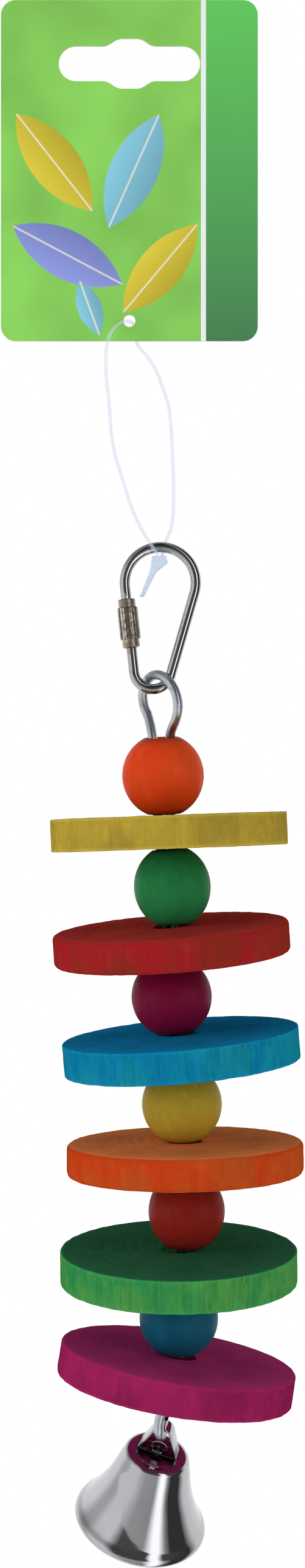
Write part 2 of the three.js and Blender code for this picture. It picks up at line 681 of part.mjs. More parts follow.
function crownRivet() {
  const shank = RIVET_SHANK_DIA / 2;
  const shankFoot = rivetEyeZ + RIVET_EYE_HOLE / 2 + RIVET_EYE_RIM / 3;
  const profile = [
    [0, shankFoot],
    [shank, shankFoot],
    [shank, rivetTop],
    [RIVET_HEAD_DIA / 2, rivetTop],
    [RIVET_HEAD_DIA / 2 - RIVET_HEAD_EDGE, rivetTop + RIVET_HEAD_EDGE],
    [0, rivetTop + RIVET_HEAD],
  ];
  const outline = new THREE.Shape();
  outline.absarc(0, rivetEyeZ, eyeOuter, 0, 2 * Math.PI, false);
  const hole = new THREE.Path();
  hole.absarc(0, rivetEyeZ, RIVET_EYE_HOLE / 2, 0, 2 * Math.PI, true);
  outline.holes.push(hole);
  const eye = toManifold(slab(outline, RIVET_EYE_THICK, 10).rotateZ(Math.PI / 2));
  const pin = toManifold(turned(profile, 16));
  return part('crown_rivet', fromManifold(pin.add(eye)), chrome);
}

// The clapper's own frame has its pivot, the wire inside the rivet's eye, at the origin
function clapperWire() {
  const ringFoot = -2 * CLAPPER_RING_RADIUS;
  const points = [];
  const steps = 10;
  for (let i = 0; i <= steps; i += 1) {
    const turn = ((2 * Math.PI - CLAPPER_RING_OPEN) * i) / steps;
    const angle = -Math.PI / 2 + CLAPPER_RING_OPEN + turn;
    const z = CLAPPER_RING_RADIUS * (Math.sin(angle) - 1);
    points.push(new THREE.Vector3(CLAPPER_RING_RADIUS * Math.cos(angle), 0, z));
  }
  points.push(new THREE.Vector3(CLAPPER_WIRE_DIA / 3, 0, ringFoot - CLAPPER_WIRE_DIA));
  points.push(new THREE.Vector3(0, 0, ringFoot - CLAPPER_NECK));
  points.push(new THREE.Vector3(0, 0, -CLAPPER_DROP));
  return part('clapper_wire', rod(new THREE.CatmullRomCurve3(points), CLAPPER_WIRE_DIA, 6, 36), galvanised);
}

function clapperBall() {
  const radius = CLAPPER_BALL_DIA / 2;
  const bore = CLAPPER_WIRE_DIA / 2 + FIT_GAP;
  const pole = Math.acos(bore / radius);
  const profile = [];
  const rings = 8;
  for (let i = 0; i <= rings; i += 1) {
    const angle = -pole + (2 * pole * i) / rings;
    profile.push([radius * Math.cos(angle), radius * Math.sin(angle)]);
  }
  profile.push(profile[0]);
  const ball = part('clapper_ball', turned(profile, 16), galvanised);
  ball.position.z = -CLAPPER_DROP + radius - FIT_GAP;
  return ball;
}

// The clapper hangs straight down inside the bell, which nods to the viewer
const clapper = new THREE.Group();
clapper.position.z = clapperPivotZ;
clapper.rotation.x = -BELL_NOD;
clapper.add(clapperWire(), clapperBall());

const bracket = bellBracket();
bracket.rotation.z = STRIP_TURN;

const bellHang = new THREE.Group();
bellHang.position.z = -FOOT_HALF;
bellHang.rotation.y = BELL_ROLL;
bellHang.add(bellShell(), bracket, crownRivet(), clapper);

// The bell turns about the axis of the wire's bend, square to the plane of the foot
const bell = new THREE.Group();
bell.position.copy(bendCentre);
bell.rotation.set(BELL_NOD, 0, Math.PI / 2 - FOOT_TURN, 'ZXY');
bell.add(bellHang);

const toy = new THREE.Group();
toy.add(headerCard(), tagLoop(), loopLock(), quickLink, wireHanger(), ...threadedPieces(), bell);

export default toy;
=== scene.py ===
"""A hanging bird toy: dyed wooden balls and discs on a wire, with a bell, a quick link and a header card."""

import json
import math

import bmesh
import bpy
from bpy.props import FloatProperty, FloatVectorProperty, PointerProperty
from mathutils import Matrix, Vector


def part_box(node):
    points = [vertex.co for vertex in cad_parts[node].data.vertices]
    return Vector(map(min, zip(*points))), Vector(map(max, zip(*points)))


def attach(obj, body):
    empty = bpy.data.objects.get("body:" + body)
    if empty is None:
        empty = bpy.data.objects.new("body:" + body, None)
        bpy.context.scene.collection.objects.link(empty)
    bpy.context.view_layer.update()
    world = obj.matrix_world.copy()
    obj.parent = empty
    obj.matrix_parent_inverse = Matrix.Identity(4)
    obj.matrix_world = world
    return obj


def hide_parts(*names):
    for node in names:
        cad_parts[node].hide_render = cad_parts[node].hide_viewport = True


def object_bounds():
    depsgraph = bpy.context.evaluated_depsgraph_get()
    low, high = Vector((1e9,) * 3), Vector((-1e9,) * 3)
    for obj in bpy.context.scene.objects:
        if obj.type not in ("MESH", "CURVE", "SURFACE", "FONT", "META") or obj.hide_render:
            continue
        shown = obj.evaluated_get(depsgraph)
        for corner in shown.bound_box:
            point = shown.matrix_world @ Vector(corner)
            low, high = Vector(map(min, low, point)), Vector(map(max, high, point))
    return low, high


bl_info = {
    "name": "Hanging bird toy",
    "version": (1, 0, 0),
    "blender": (4, 5, 0),
    "location": "View3D > Sidebar > Bird toy",
    "description": "Models and finishes the pieces of a hanging wooden bird toy",
    "category": "Mesh",
}

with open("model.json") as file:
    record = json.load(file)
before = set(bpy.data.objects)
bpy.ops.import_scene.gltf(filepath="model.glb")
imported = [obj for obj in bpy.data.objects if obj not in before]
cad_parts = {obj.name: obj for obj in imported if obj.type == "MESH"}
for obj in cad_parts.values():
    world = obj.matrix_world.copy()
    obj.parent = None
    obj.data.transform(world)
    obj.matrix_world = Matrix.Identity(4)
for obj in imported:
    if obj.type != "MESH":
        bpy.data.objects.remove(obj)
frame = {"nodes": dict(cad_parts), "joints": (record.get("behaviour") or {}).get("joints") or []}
CAD_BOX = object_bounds()

MM = 0.001
MERGE = 0.01 * MM
# Steps of an outline or a smooth profile between two of its points
OUTLINE_STEPS = 12
PROFILE_STEPS = 6
UPRIGHT = Matrix.Rotation(math.pi / 2, 4, "X")
JOINTS = {joint["name"]: joint for joint in frame["joints"]}

# The nylon loop's route, from its lock up in front of the card, through the tie hole and down behind
LOOP_ROUTE_MM = [
    (6.4, -0.85, -117.0), (5.9, -1.7, -116.2), (5.2, -2.05, -115.2), (3.9, -2.1, -113.3), (0.9, -1.9, -107.4),
    (-1.4, -1.7, -100.4), (-3.6, -1.6, -92.7), (-4.6, -1.6, -82.3), (-5.3, -1.6, -74.4), (-4.9, -1.6, -69.0),
    (-4.0, -1.55, -66.6), (-2.5, -1.25, -64.9), (-1.2, -0.9, -64.2), (0, 0, -64.1), (0.9, 0.95, -64.4),
    (1.3, 1.6, -66.2), (1.9, 1.7, -69.0), (4.0, 1.6, -71.6), (5.8, 1.6, -74.4), (7.8, 1.6, -79.4),
    (8.9, 1.6, -83.1), (9.4, 1.6, -87.5), (9.9, 1.6, -97.1), (10.0, 1.6, -101.5), (9.5, 1.7, -110.4),
    (8.2, 2.0, -113.7), (7.7, 2.05, -115.3), (7.6, 1.65, -116.2), (7.4, 0.85, -117.0),
]

# The balls and discs from the top down: the second tone that the dye runs to, the tone of the end grain,
# and how strongly the grain streaks the side, from 0 to 1
BALLS = {
    "orange": ("#C54D18", "#A83111", 0),
    "green": ("#155E30", "#114C27", 0),
    "purple": ("#5D0B25", "#4F0820", 0),
    "yellow": ("#918527", "#8F7B24", 0),
    "red": ("#6F1713", "#5F1411", 0),
    "blue": ("#126478", "#0B4056", 0),
}
DISCS = {
    "yellow": ("#9A8233", "#A08831", 0.3),
    "red": ("#7C311C", "#AD3834", 0.1),
    "blue": ("#1B8D97", "#1781B5", 0.6),
    "orange": ("#B25522", "#E37D46", 0.1),
    "green": ("#5B9C47", "#2B6446", 0.7),
    "magenta": ("#801D48", "#A8336D", 0.2),
}
# How far each disc's corners are rounded by sanding
DISC_CORNERS_MM = {"yellow": 0.3, "red": 1.2, "blue": 0.35, "orange": 1.3, "green": 0.35, "magenta": 0.7}
# The marks of sawing and sanding: their height and width, and the share of the height that is cut in
UNEVEN = 0.22 * MM
UNEVEN_GRAIN = 2.2 * MM
UNEVEN_CUT_IN = 0.75

# Dyed wood's patterns in their real sizes: runs and clouds of dye, streaks and fibres of the grain, growth
# rings and where their pith lies, and saw marks
DYE_RUN = 10 * MM
DYE_CLOUD = 3.5 * MM
GRAIN_STREAK = 0.8 * MM
GRAIN_FIBRE = 0.3 * MM
GROWTH_RING = 2.4 * MM
PITH = (9 * MM, 4 * MM, 0)
SAW_MARK = 1.1 * MM
# A wave texture's rings lie this far apart at a scale of 1
WAVE_RING = math.pi / 10
# How far the patterns are drawn out: grain and dye along the fibres, saw marks across them
GRAIN_STRETCH = (1, 1, 0.09)
DYE_STRETCH = (1, 1, 0.5)
SAW_STRETCH = (0.12, 1, 1)
# Detail and roughness of the dye's noise and of the grain's, and the rings' distortion, detail and its scale
DYE_NOISE = (3, 0.6)
GRAIN_NOISE = (4, 0.65)
RING_WAVE = (2.2, 2, 1.2)
# The share of clouds in the runs of dye
CLOUD_SHARE = 0.35
# The pattern's value from which each mark starts to show, and that at which it shows in full
RUN_SHOWS = (0.36, 0.64)
STREAK_SHOWS = (0.4, 0.7)
PALE_SHOWS = (0.52, 0.7)
SUNK_SHOWS = (0.35, 0.65)
SAWN_SHOWS = (0.5, 0.75)
NICK_SHOWS = (0.6, 0.7)
PORE_SHOWS = (0.64, 0.78)
DULL_SHOWS = (0.3, 0.7)
# The height of the grain's ridges
GRAIN_RIDGE = 0.1 * MM
# How squarely a face lies across the grain as it turns from side to end grain, and how far in from the
# # corners the lighter edge (rubbed dye with a painted highlight) and the nicks start and end
END_GRAIN = (0.7, 0.97)
EDGE_BAND_START, EDGE_BAND_END = 1.0 * MM, 0.1 * MM
NICK_START, NICK_END = 2.6 * MM, 0.4 * MM

# Plating's clouds and specks, each with the detail and roughness of its noise, and the values of both
# together between which stains and dullness set in
PLATE_CLOUD = 4 * MM
PLATE_CLOUD_NOISE = (4, 0.65)
PLATE_SPECK = 0.8 * MM
PLATE_SPECK_NOISE = (3, 0.6)
STAIN_SHOWS = (1.05, 1.3)
TARNISH_SHOWS = (0.75, 1.25)
# Painted shade on the wire inside the stack: its colour, its share, and the height over which it fades out
STACK_SHADE_COLOUR = "#2A2522"
STACK_SHADE_SHARE = 0.9
STACK_SHADE_FADE = 2 * MM

NYLON_CLOUD = 3 * MM
NYLON_TONES = ("#CADDF6", "#DFEBFC")
NYLON_ROUGHNESS = 0.4
NYLON_SHINE = 0.2
NYLON_IOR = 1.53

# The bell lies back from the viewer and to the right
BELL_NOD = math.radians(20)
BELL_ROLL = math.radians(15.6)

# The nodes in use, by short names: the kind, the sockets that take values in order, the settings and
# the output
LIMITS = ("Value", "From Min", "From Max", "To Min", "To Max")
NODES = {
    "coords": ("TexCoord", (), {}, "Object"),
    "normal": ("TexCoord", (), {}, "Normal"),
    "towards": ("TexCoord", (), {}, "Generated"),
    "camera ray": ("LightPath", (), {}, "Is Camera Ray"),
    "glossy ray": ("LightPath", (), {}, "Is Glossy Ray"),
    "ray through": ("LightPath", (), {}, "Is Transmission Ray"),
    "mapped": ("Mapping", ("Vector", "Location", "Rotation"), {"vector_type": "TEXTURE"}, 0),
    "x": ("SeparateXYZ", (0,), {}, "X"),
    "y": ("SeparateXYZ", (0,), {}, "Y"),
    "z": ("SeparateXYZ", (0,), {}, "Z"),
    "xyz": ("CombineXYZ", (0, 1, 2), {}, 0),
    "from": ("VectorMath", (0, 1), {"operation": "SUBTRACT"}, 0),
    "scaled": ("VectorMath", (0, 1), {"operation": "MULTIPLY"}, 0),
    "dot": ("VectorMath", (0, 1), {"operation": "DOT_PRODUCT"}, "Value"),
    "length": ("VectorMath", (0,), {"operation": "LENGTH"}, "Value"),
    "plus": ("Math", (0, 1), {"operation": "ADD"}, 0),
    "times": ("Math", (0, 1), {"operation": "MULTIPLY"}, 0),
    "size": ("Math", (0,), {"operation": "ABSOLUTE"}, 0),
    "below": ("Math", (0, 1), {"operation": "LESS_THAN"}, 0),
    "larger": ("Math", (0, 1), {"operation": "MAXIMUM"}, 0),
    "bearing": ("Math", (0, 1), {"operation": "ARCTAN2"}, 0),
    "range": ("MapRange", LIMITS, {}, 0),
    "ease": ("MapRange", LIMITS, {"interpolation_type": "SMOOTHSTEP"}, 0),
    "noise": ("TexNoise", ("Vector", "Scale", "Detail", "Roughness"), {}, "Fac"),
    "rings": ("TexWave", ("Vector", "Scale", "Distortion", "Detail", "Detail Scale"),
              {"wave_type": "RINGS", "rings_direction": "Z"}, "Fac"),
    "ramp": ("ValToRGB", (0,), {}, None),
    "mix": ("Mix", (0, 6, 7), {"data_type": "RGBA"}, 2),
    "mix values": ("Mix", (0, 2, 3), {}, 0),
    "mix shaders": ("MixShader", (0, 1, 2), {}, 0),
    "bump": ("Bump", ("Strength", "Distance", "Height"), {}, 0),
    "metal": ("BsdfPrincipled", ("Base Color", "Roughness", "Metallic", "Normal"), {}, 0),
    "solid": ("BsdfPrincipled", ("Base Color", "Roughness", "Specular IOR Level", "Normal"), {}, 0),
    "clear": ("BsdfPrincipled", ("Base Color", "Roughness", "Specular IOR Level", "IOR", "Alpha"), {}, 0),
    "matt": ("BsdfDiffuse", ("Color",), {}, 0),
    "glow": ("Emission", ("Strength",), {}, 0),
    "background": ("Background", ("Color", "Strength"), {}, 0),
    "output": ("OutputMaterial", ("Surface",), {}, None),
    "world": ("OutputWorld", ("Surface",), {}, None),
}


def linear(hex_colour):
    """An sRGB hex colour as linear red, green and blue."""
    parts = [int(hex_colour[i:i + 2], 16) / 255 for i in (1, 3, 5)]
    return tuple(part / 12.92 if part <= 0.04045 else ((part + 0.055) / 1.055) ** 2.4 for part in parts)


def shade(colour, share=1):
    """A linear or hex colour, its light scaled by a share, as the four numbers that a socket takes."""
    parts = linear(colour) if isinstance(colour, str) else colour[:3]
    return (*[part * share for part in parts], 1)


def length(name, description, size_mm):
    """A size that a user may change, with its default."""
    return FloatProperty(name=name, description=description, default=size_mm * MM, unit="LENGTH")


def dye(piece, hex_colour):
    """A colour that a user may change, with its sRGB default."""
    return FloatVectorProperty(
        name=piece, description=f"Colour of the {piece.lower()}", subtype="COLOR", default=linear(hex_colour))


class BirdToySizes(bpy.types.PropertyGroup):
    """Sizes of the toy's pieces that the frame doesn't give by itself."""

    card_thickness: length("Card thickness", "Thickness of the header card's board", 0.45)
    loop_diameter: length("Loop diameter", "Diameter of the nylon loop's strand", 0.8)
    link_rod: length("Link rod", "Diameter of the quick link's rod", 2.4)
    wire: length("Wire", "Diameter of the wire that carries the stack", 2.2)
    ball_bore: length("Ball bore", "Radius of the hole through each ball", 3.7)
    disc_bore: length("Disc bore", "Radius of the hole through each disc", 4.0)
    bell_wall: length("Bell wall", "Thickness of the bell's pressed metal", 0.6)
    clapper_wire: length("Clapper wire", "Diameter of the wire that the clapper's ball hangs on", 1.0)


class BirdToyColours(bpy.types.PropertyGroup):
    """Colours of the dyes, the print and the plating."""

    ball_orange: dye("Orange ball", "#DB4116")
    ball_green: dye("Green ball", "#247C45")
    ball_purple: dye("Purple ball", "#740B32")
    ball_yellow: dye("Yellow ball", "#AE912E")
    ball_red: dye("Red ball", "#842017")
    ball_blue: dye("Blue ball", "#105169")
    disc_yellow: dye("Yellow disc", "#B59C38")
    disc_red: dye("Red disc", "#A21D26")
    disc_blue: dye("Blue disc", "#0A77A3")
    disc_orange: dye("Orange disc", "#C43C15")
    disc_green: dye("Green disc", "#2E894A")
    disc_magenta: dye("Magenta disc", "#9F225C")
    card_field: dye("Card field", "#88CF5D")
    card_band_top: dye("Top of the card's band", "#66CC62")
    card_band_foot: dye("Foot of the card's band", "#488254")
    nickel: dye("Nickel plate", "#C2C2C1")
    browned: dye("Browned sleeve", "#C4B7A1")
    zinc: dye("Zinc on the wire", "#CED4DB")
    bell: dye("Bell plate", "#C6C7CA")


def steps_between(start, end, count):
    """Values from a start to an end in even steps."""
    return [start + (end - start) * step / count for step in range(count + 1)]


def joint_frame(name):
    """A matrix with its origin at a joint and its Z along the joint's axis."""
    joint = JOINTS[name]
    turn = Vector((0, 0, 1)).rotation_difference(Vector(joint["axis"]))
    return Matrix.Translation(joint["pos_m"]) @ turn.to_matrix().to_4x4()


def turned_size(node, placed):
    """Radius and half height of a round CAD node about the Z axis of the frame that it is placed by."""
    back = placed.inverted()
    points = [back @ vertex.co for vertex in frame["nodes"][node].data.vertices]
    return max(point.xy.length for point in points), max(abs(point.z) for point in points)


def deselect():
    """Leave object mode ready for a new piece, with nothing selected."""
    bpy.ops.object.select_all(action="DESELECT")


def edit_whole():
    """Edit the active mesh, with all of it selected."""
    bpy.ops.object.mode_set(mode="EDIT")
    bpy.ops.mesh.select_all(action="SELECT")


def face_outwards():
    """In edit mode, point every face outwards."""
    bpy.ops.mesh.select_all(action="SELECT")
    bpy.ops.mesh.normals_make_consistent(inside=False)


def pick(piece, kind, test):
    """In edit mode, select only the verts, edges or faces that a test holds for."""
    bpy.ops.mesh.select_mode(type=kind[:-1].upper())
    bpy.ops.mesh.select_all(action="DESELECT")
    shape = bmesh.from_edit_mesh(piece.data)
    for element in getattr(shape, kind):
        if test(element):
            element.select_set(True)
    shape.select_flush_mode()
    bmesh.update_edit_mesh(piece.data)


def apply_modifier(piece, kind, **settings):
    """Add a modifier with its settings and apply it."""
    modifier = piece.modifiers.new(kind.title(), kind)
    for name, value in settings.items():
        setattr(modifier, name, value)
    bpy.ops.object.modifier_apply(modifier=modifier.name)


def ease_edges(piece, width, steps, sharper_than):
    """Bevel the edges that are sharper than an angle in degrees."""
    apply_modifier(piece, "BEVEL", width=width, segments=steps, limit_method="ANGLE",
                   angle_limit=math.radians(sharper_than))


def place(piece, matrix):
    """Put a piece modelled about the origin in its place, and keep the place in its mesh."""
    piece.matrix_world = matrix
    bpy.ops.object.transform_apply(location=True, rotation=True, scale=True)


def finish_piece(piece, name, material, slot, body, *nodes, smooth_angle=40):
    """Name and finish a piece, and let it ride on its body in place of its CAD nodes."""
    piece.name = name
    piece.data.name = name
    piece.data.materials.clear()
    piece.data.materials.append(material)
    if piece.type == "MESH":
        bpy.ops.object.shade_smooth_by_angle(angle=math.radians(smooth_angle))
    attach(piece, body)
    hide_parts(*nodes)


def new_curve():
    """A new Bezier curve, alone selected."""
    deselect()
    bpy.ops.curve.primitive_bezier_curve_add()
    return bpy.context.object


def as_mesh():
    """The active curve, made a mesh."""
    bpy.ops.object.convert(target="MESH")
    return bpy.context.object


def drawn_curve(points, smooth=True):
    """An open curve through the points."""
    drawn = new_curve()
    spline = drawn.data.splines[0]
    spline.bezier_points.add(len(points) - len(spline.bezier_points))
    for knot, point in zip(spline.bezier_points, points):
        knot.co = point
        knot.handle_left_type = knot.handle_right_type = "AUTO" if smooth else "VECTOR"
    return drawn


def bent_rod(points, radius, steps, round_steps):
    """A curve through the points with a round section and closed ends."""
    drawn = drawn_curve(points)
    drawn.data.resolution_u = steps
    drawn.data.bevel_depth = radius
    drawn.data.bevel_resolution = round_steps
    drawn.data.use_fill_caps = True
    return drawn


def cut_sheet(outlines, thickness, edge, edge_steps):
    """A flat sheet cut to closed outlines, with eased edges; each knot is its point and its two handles."""
    drawn = new_curve().data
    drawn.splines.clear()
    drawn.dimensions = "2D"
    drawn.fill_mode = "BOTH"
    drawn.resolution_u = OUTLINE_STEPS
    for knots in outlines:
        spline = drawn.splines.new("BEZIER")
        spline.use_cyclic_u = True
        spline.bezier_points.add(len(knots) - 1)
        for knot, (point, before, after) in zip(spline.bezier_points, knots):
            knot.handle_left_type = knot.handle_right_type = "FREE"
            knot.co = (*point, 0)
            knot.handle_left = (*before, 0)
            knot.handle_right = (*after, 0)
    drawn.extrude = thickness / 2 - edge
    drawn.bevel_depth = edge
    drawn.bevel_resolution = edge_steps
    drawn.offset = -edge
    return as_mesh()


def spin_profile(points, steps, smooth=False):
    """A mesh turned about Z from a profile of (radius, height), drawn as a curve and spun in edit mode."""
    drawn = drawn_curve([(radius, 0, height) for radius, height in points], smooth)
    drawn.data.resolution_u = PROFILE_STEPS if smooth else 1
    piece = as_mesh()
    edit_whole()
    bpy.ops.mesh.spin(steps=steps, angle=2 * math.pi, center=(0, 0, 0), axis=(0, 0, 1))
    bpy.ops.mesh.select_all(action="SELECT")
    bpy.ops.mesh.remove_doubles(threshold=MERGE)
    face_outwards()
    bpy.ops.object.mode_set(mode="OBJECT")
    return piece


def node_adder(tree):
    """Clear a node tree, and give the function that adds nodes to it."""
    tree.nodes.clear()

    def add(name, *values):
        """Add a node by its short name, set or link its sockets in order, and return its output."""
        kind, sockets, settings, output = NODES[name]
        made = tree.nodes.new(f"ShaderNode{kind}")
        for setting, value in settings.items():
            setattr(made, setting, value)
        for socket, value in zip(sockets, values):
            if isinstance(value, bpy.types.NodeSocket):
                tree.links.new(value, made.inputs[socket])
            else:
                made.inputs[socket].default_value = value
        return made if output is None else made.outputs[output]

    return add


def new_material(name):
    """An empty node material, and the function that adds nodes to it."""
    material = bpy.data.materials.new(name)
    material.use_nodes = True
    return material, node_adder(material.node_tree)


def local_coords(add, placed):
    """Object coordinates turned into a piece's own frame."""
    return add("mapped", add("coords"), placed.translation, placed.to_euler())


def radius_of(add, local):
    """The distance from a piece's own Z axis."""
    return add("length", add("scaled", local, (1, 1, 0)))


def overlaid(add, base, *layers):
    """Lay tones over a base, each where a pattern rises from a low to a high value, up to a share."""
    for pattern, low, high, share, tone in layers:
        base = add("mix", add("ease", pattern, low, high, 0, share), base, tone)
    return base


def nylon(name, cover):
    """Drawn or moulded nylon: milky white with a blue cast and a soft shine, clearer where it is thin."""
    material, add = new_material(name)
    tone = add("mix", add("noise", add("coords"), 1 / NYLON_CLOUD), *map(shade, NYLON_TONES))
    add("output", add("clear", tone, NYLON_ROUGHNESS, NYLON_SHINE, NYLON_IOR, cover))
    return material


def dyed_wood(piece, colour, tones, placed, radius, half, roughness, worn):
    """Pine in thin dye: it runs to a second tone, sinks darker into ringed end grain and streaks the side."""
    material, add = new_material(f"Dyed pine {piece}")
    tint, end, grain = tones
    local = local_coords(add, placed)
    out = radius_of(add, local)
    height = add("size", add("z", local))
    stretched = add("scaled", local, GRAIN_STRETCH)
    blotch = add("noise", local, 1 / DYE_RUN, *DYE_NOISE)
    cloud = add("noise", add("scaled", local, DYE_STRETCH), 1 / DYE_CLOUD, *DYE_NOISE)
    streak = add("noise", stretched, 1 / GRAIN_STREAK, *GRAIN_NOISE)
    fibre = add("noise", stretched, 1 / GRAIN_FIBRE)
    run = add("mix values", CLOUD_SHARE, blotch, cloud)
    side = overlaid(
        add, shade(colour),
        (run, *RUN_SHOWS, 0.5 + 0.4 * worn, shade(tint)),
        (streak, *STREAK_SHOWS, 0.1 + 0.5 * grain, shade(colour, 0.6)),
        (cloud, *PALE_SHOWS, 0.45, shade(colour, 1.35)))
    rings = add("rings", add("from", local, PITH), WAVE_RING / GROWTH_RING, *RING_WAVE)
    sawn = add("noise", add("scaled", local, SAW_STRETCH), 1 / SAW_MARK, *DYE_NOISE)
    # The end grain turns lighter towards the rim
    cut = overlaid(
        add, add("mix", rings, shade(end, 0.92), shade(end, 1.08)),
        (blotch, *SUNK_SHOWS, 0.6, shade(end, 0.72)),
        (sawn, *SAWN_SHOWS, 0.3, shade(end, 1.35)),
        (out, 0.6 * radius, radius, 0.35, shade(end, 1.45)))
    end_on = add("size", add("dot", add("normal"), placed.to_3x3().col[2]))
    along = add("ease", end_on, *END_GRAIN, 1, 1 - 0.75 * worn)
    near_rim = add("ease", out, radius - EDGE_BAND_START, radius - EDGE_BAND_END)
    edge = add("times", near_rim, add("ease", height, half - EDGE_BAND_START, half - EDGE_BAND_END))
    nick = add("times", add("ease", height, half - NICK_START, half - NICK_END),
               add("ease", fibre, *NICK_SHOWS, 0, 0.8 * grain))
    pore = add("ease", fibre, *PORE_SHOWS, 0, 0.04 + 0.1 * worn + 0.25 * grain)
    whole = overlaid(add, side, (end_on, *END_GRAIN, 1, cut))
    # Lighter corners: dye rubbed off, with a painted highlight along the edges
    whole = add("mix", add("times", edge, 0.45 * worn), whole, shade(colour, 1.5))
    whole = add("mix", add("times", nick, near_rim), whole, shade(colour, 0.3))
    whole = add("mix", add("times", pore, along), whole, shade(colour, 0.4))
    rough = add("ease", streak, *DULL_SHOWS, roughness - 0.07, roughness + 0.1)
    relief = add("times", add("plus", streak, fibre), along)
    bump = add("bump", 0.1 + 0.15 * worn + 0.2 * grain, GRAIN_RIDGE, relief)
    add("output", add("solid", whole, rough, 0.1 - 0.1 * worn, bump))
    return material


def plated_steel(name, colour, stain, roughness, stain_share, placed, shaded_span=None):
    """Nickel or zinc on drawn steel: bright and cloudy, dull in stains, and darkened by painted shade in the
    stack.
    """
    material, add = new_material(name)
    local = local_coords(add, placed)
    speck = add("noise", local, 1 / PLATE_SPECK, *PLATE_SPECK_NOISE)
    cloud = add("plus", add("noise", local, 1 / PLATE_CLOUD, *PLATE_CLOUD_NOISE), speck)
    tone = overlaid(add, shade(colour), (cloud, *STAIN_SHOWS, stain_share, shade(stain)))
    # Painted shade: the wire is darkened between two heights inside the stack, where balls and discs shade it
    if shaded_span:
        low, high = shaded_span
        height = add("z", add("coords"))
        within = add("times", add("ease", height, low, low + STACK_SHADE_FADE),
                     add("ease", height, high, high - STACK_SHADE_FADE))
        tone = add("mix", add("times", within, STACK_SHADE_SHARE), tone, shade(STACK_SHADE_COLOUR))
    rough = add("ease", cloud, *TARNISH_SHOWS, roughness * 0.8, roughness * 1.4)
    add("output", add("metal", tone, rough, 1))
    return material


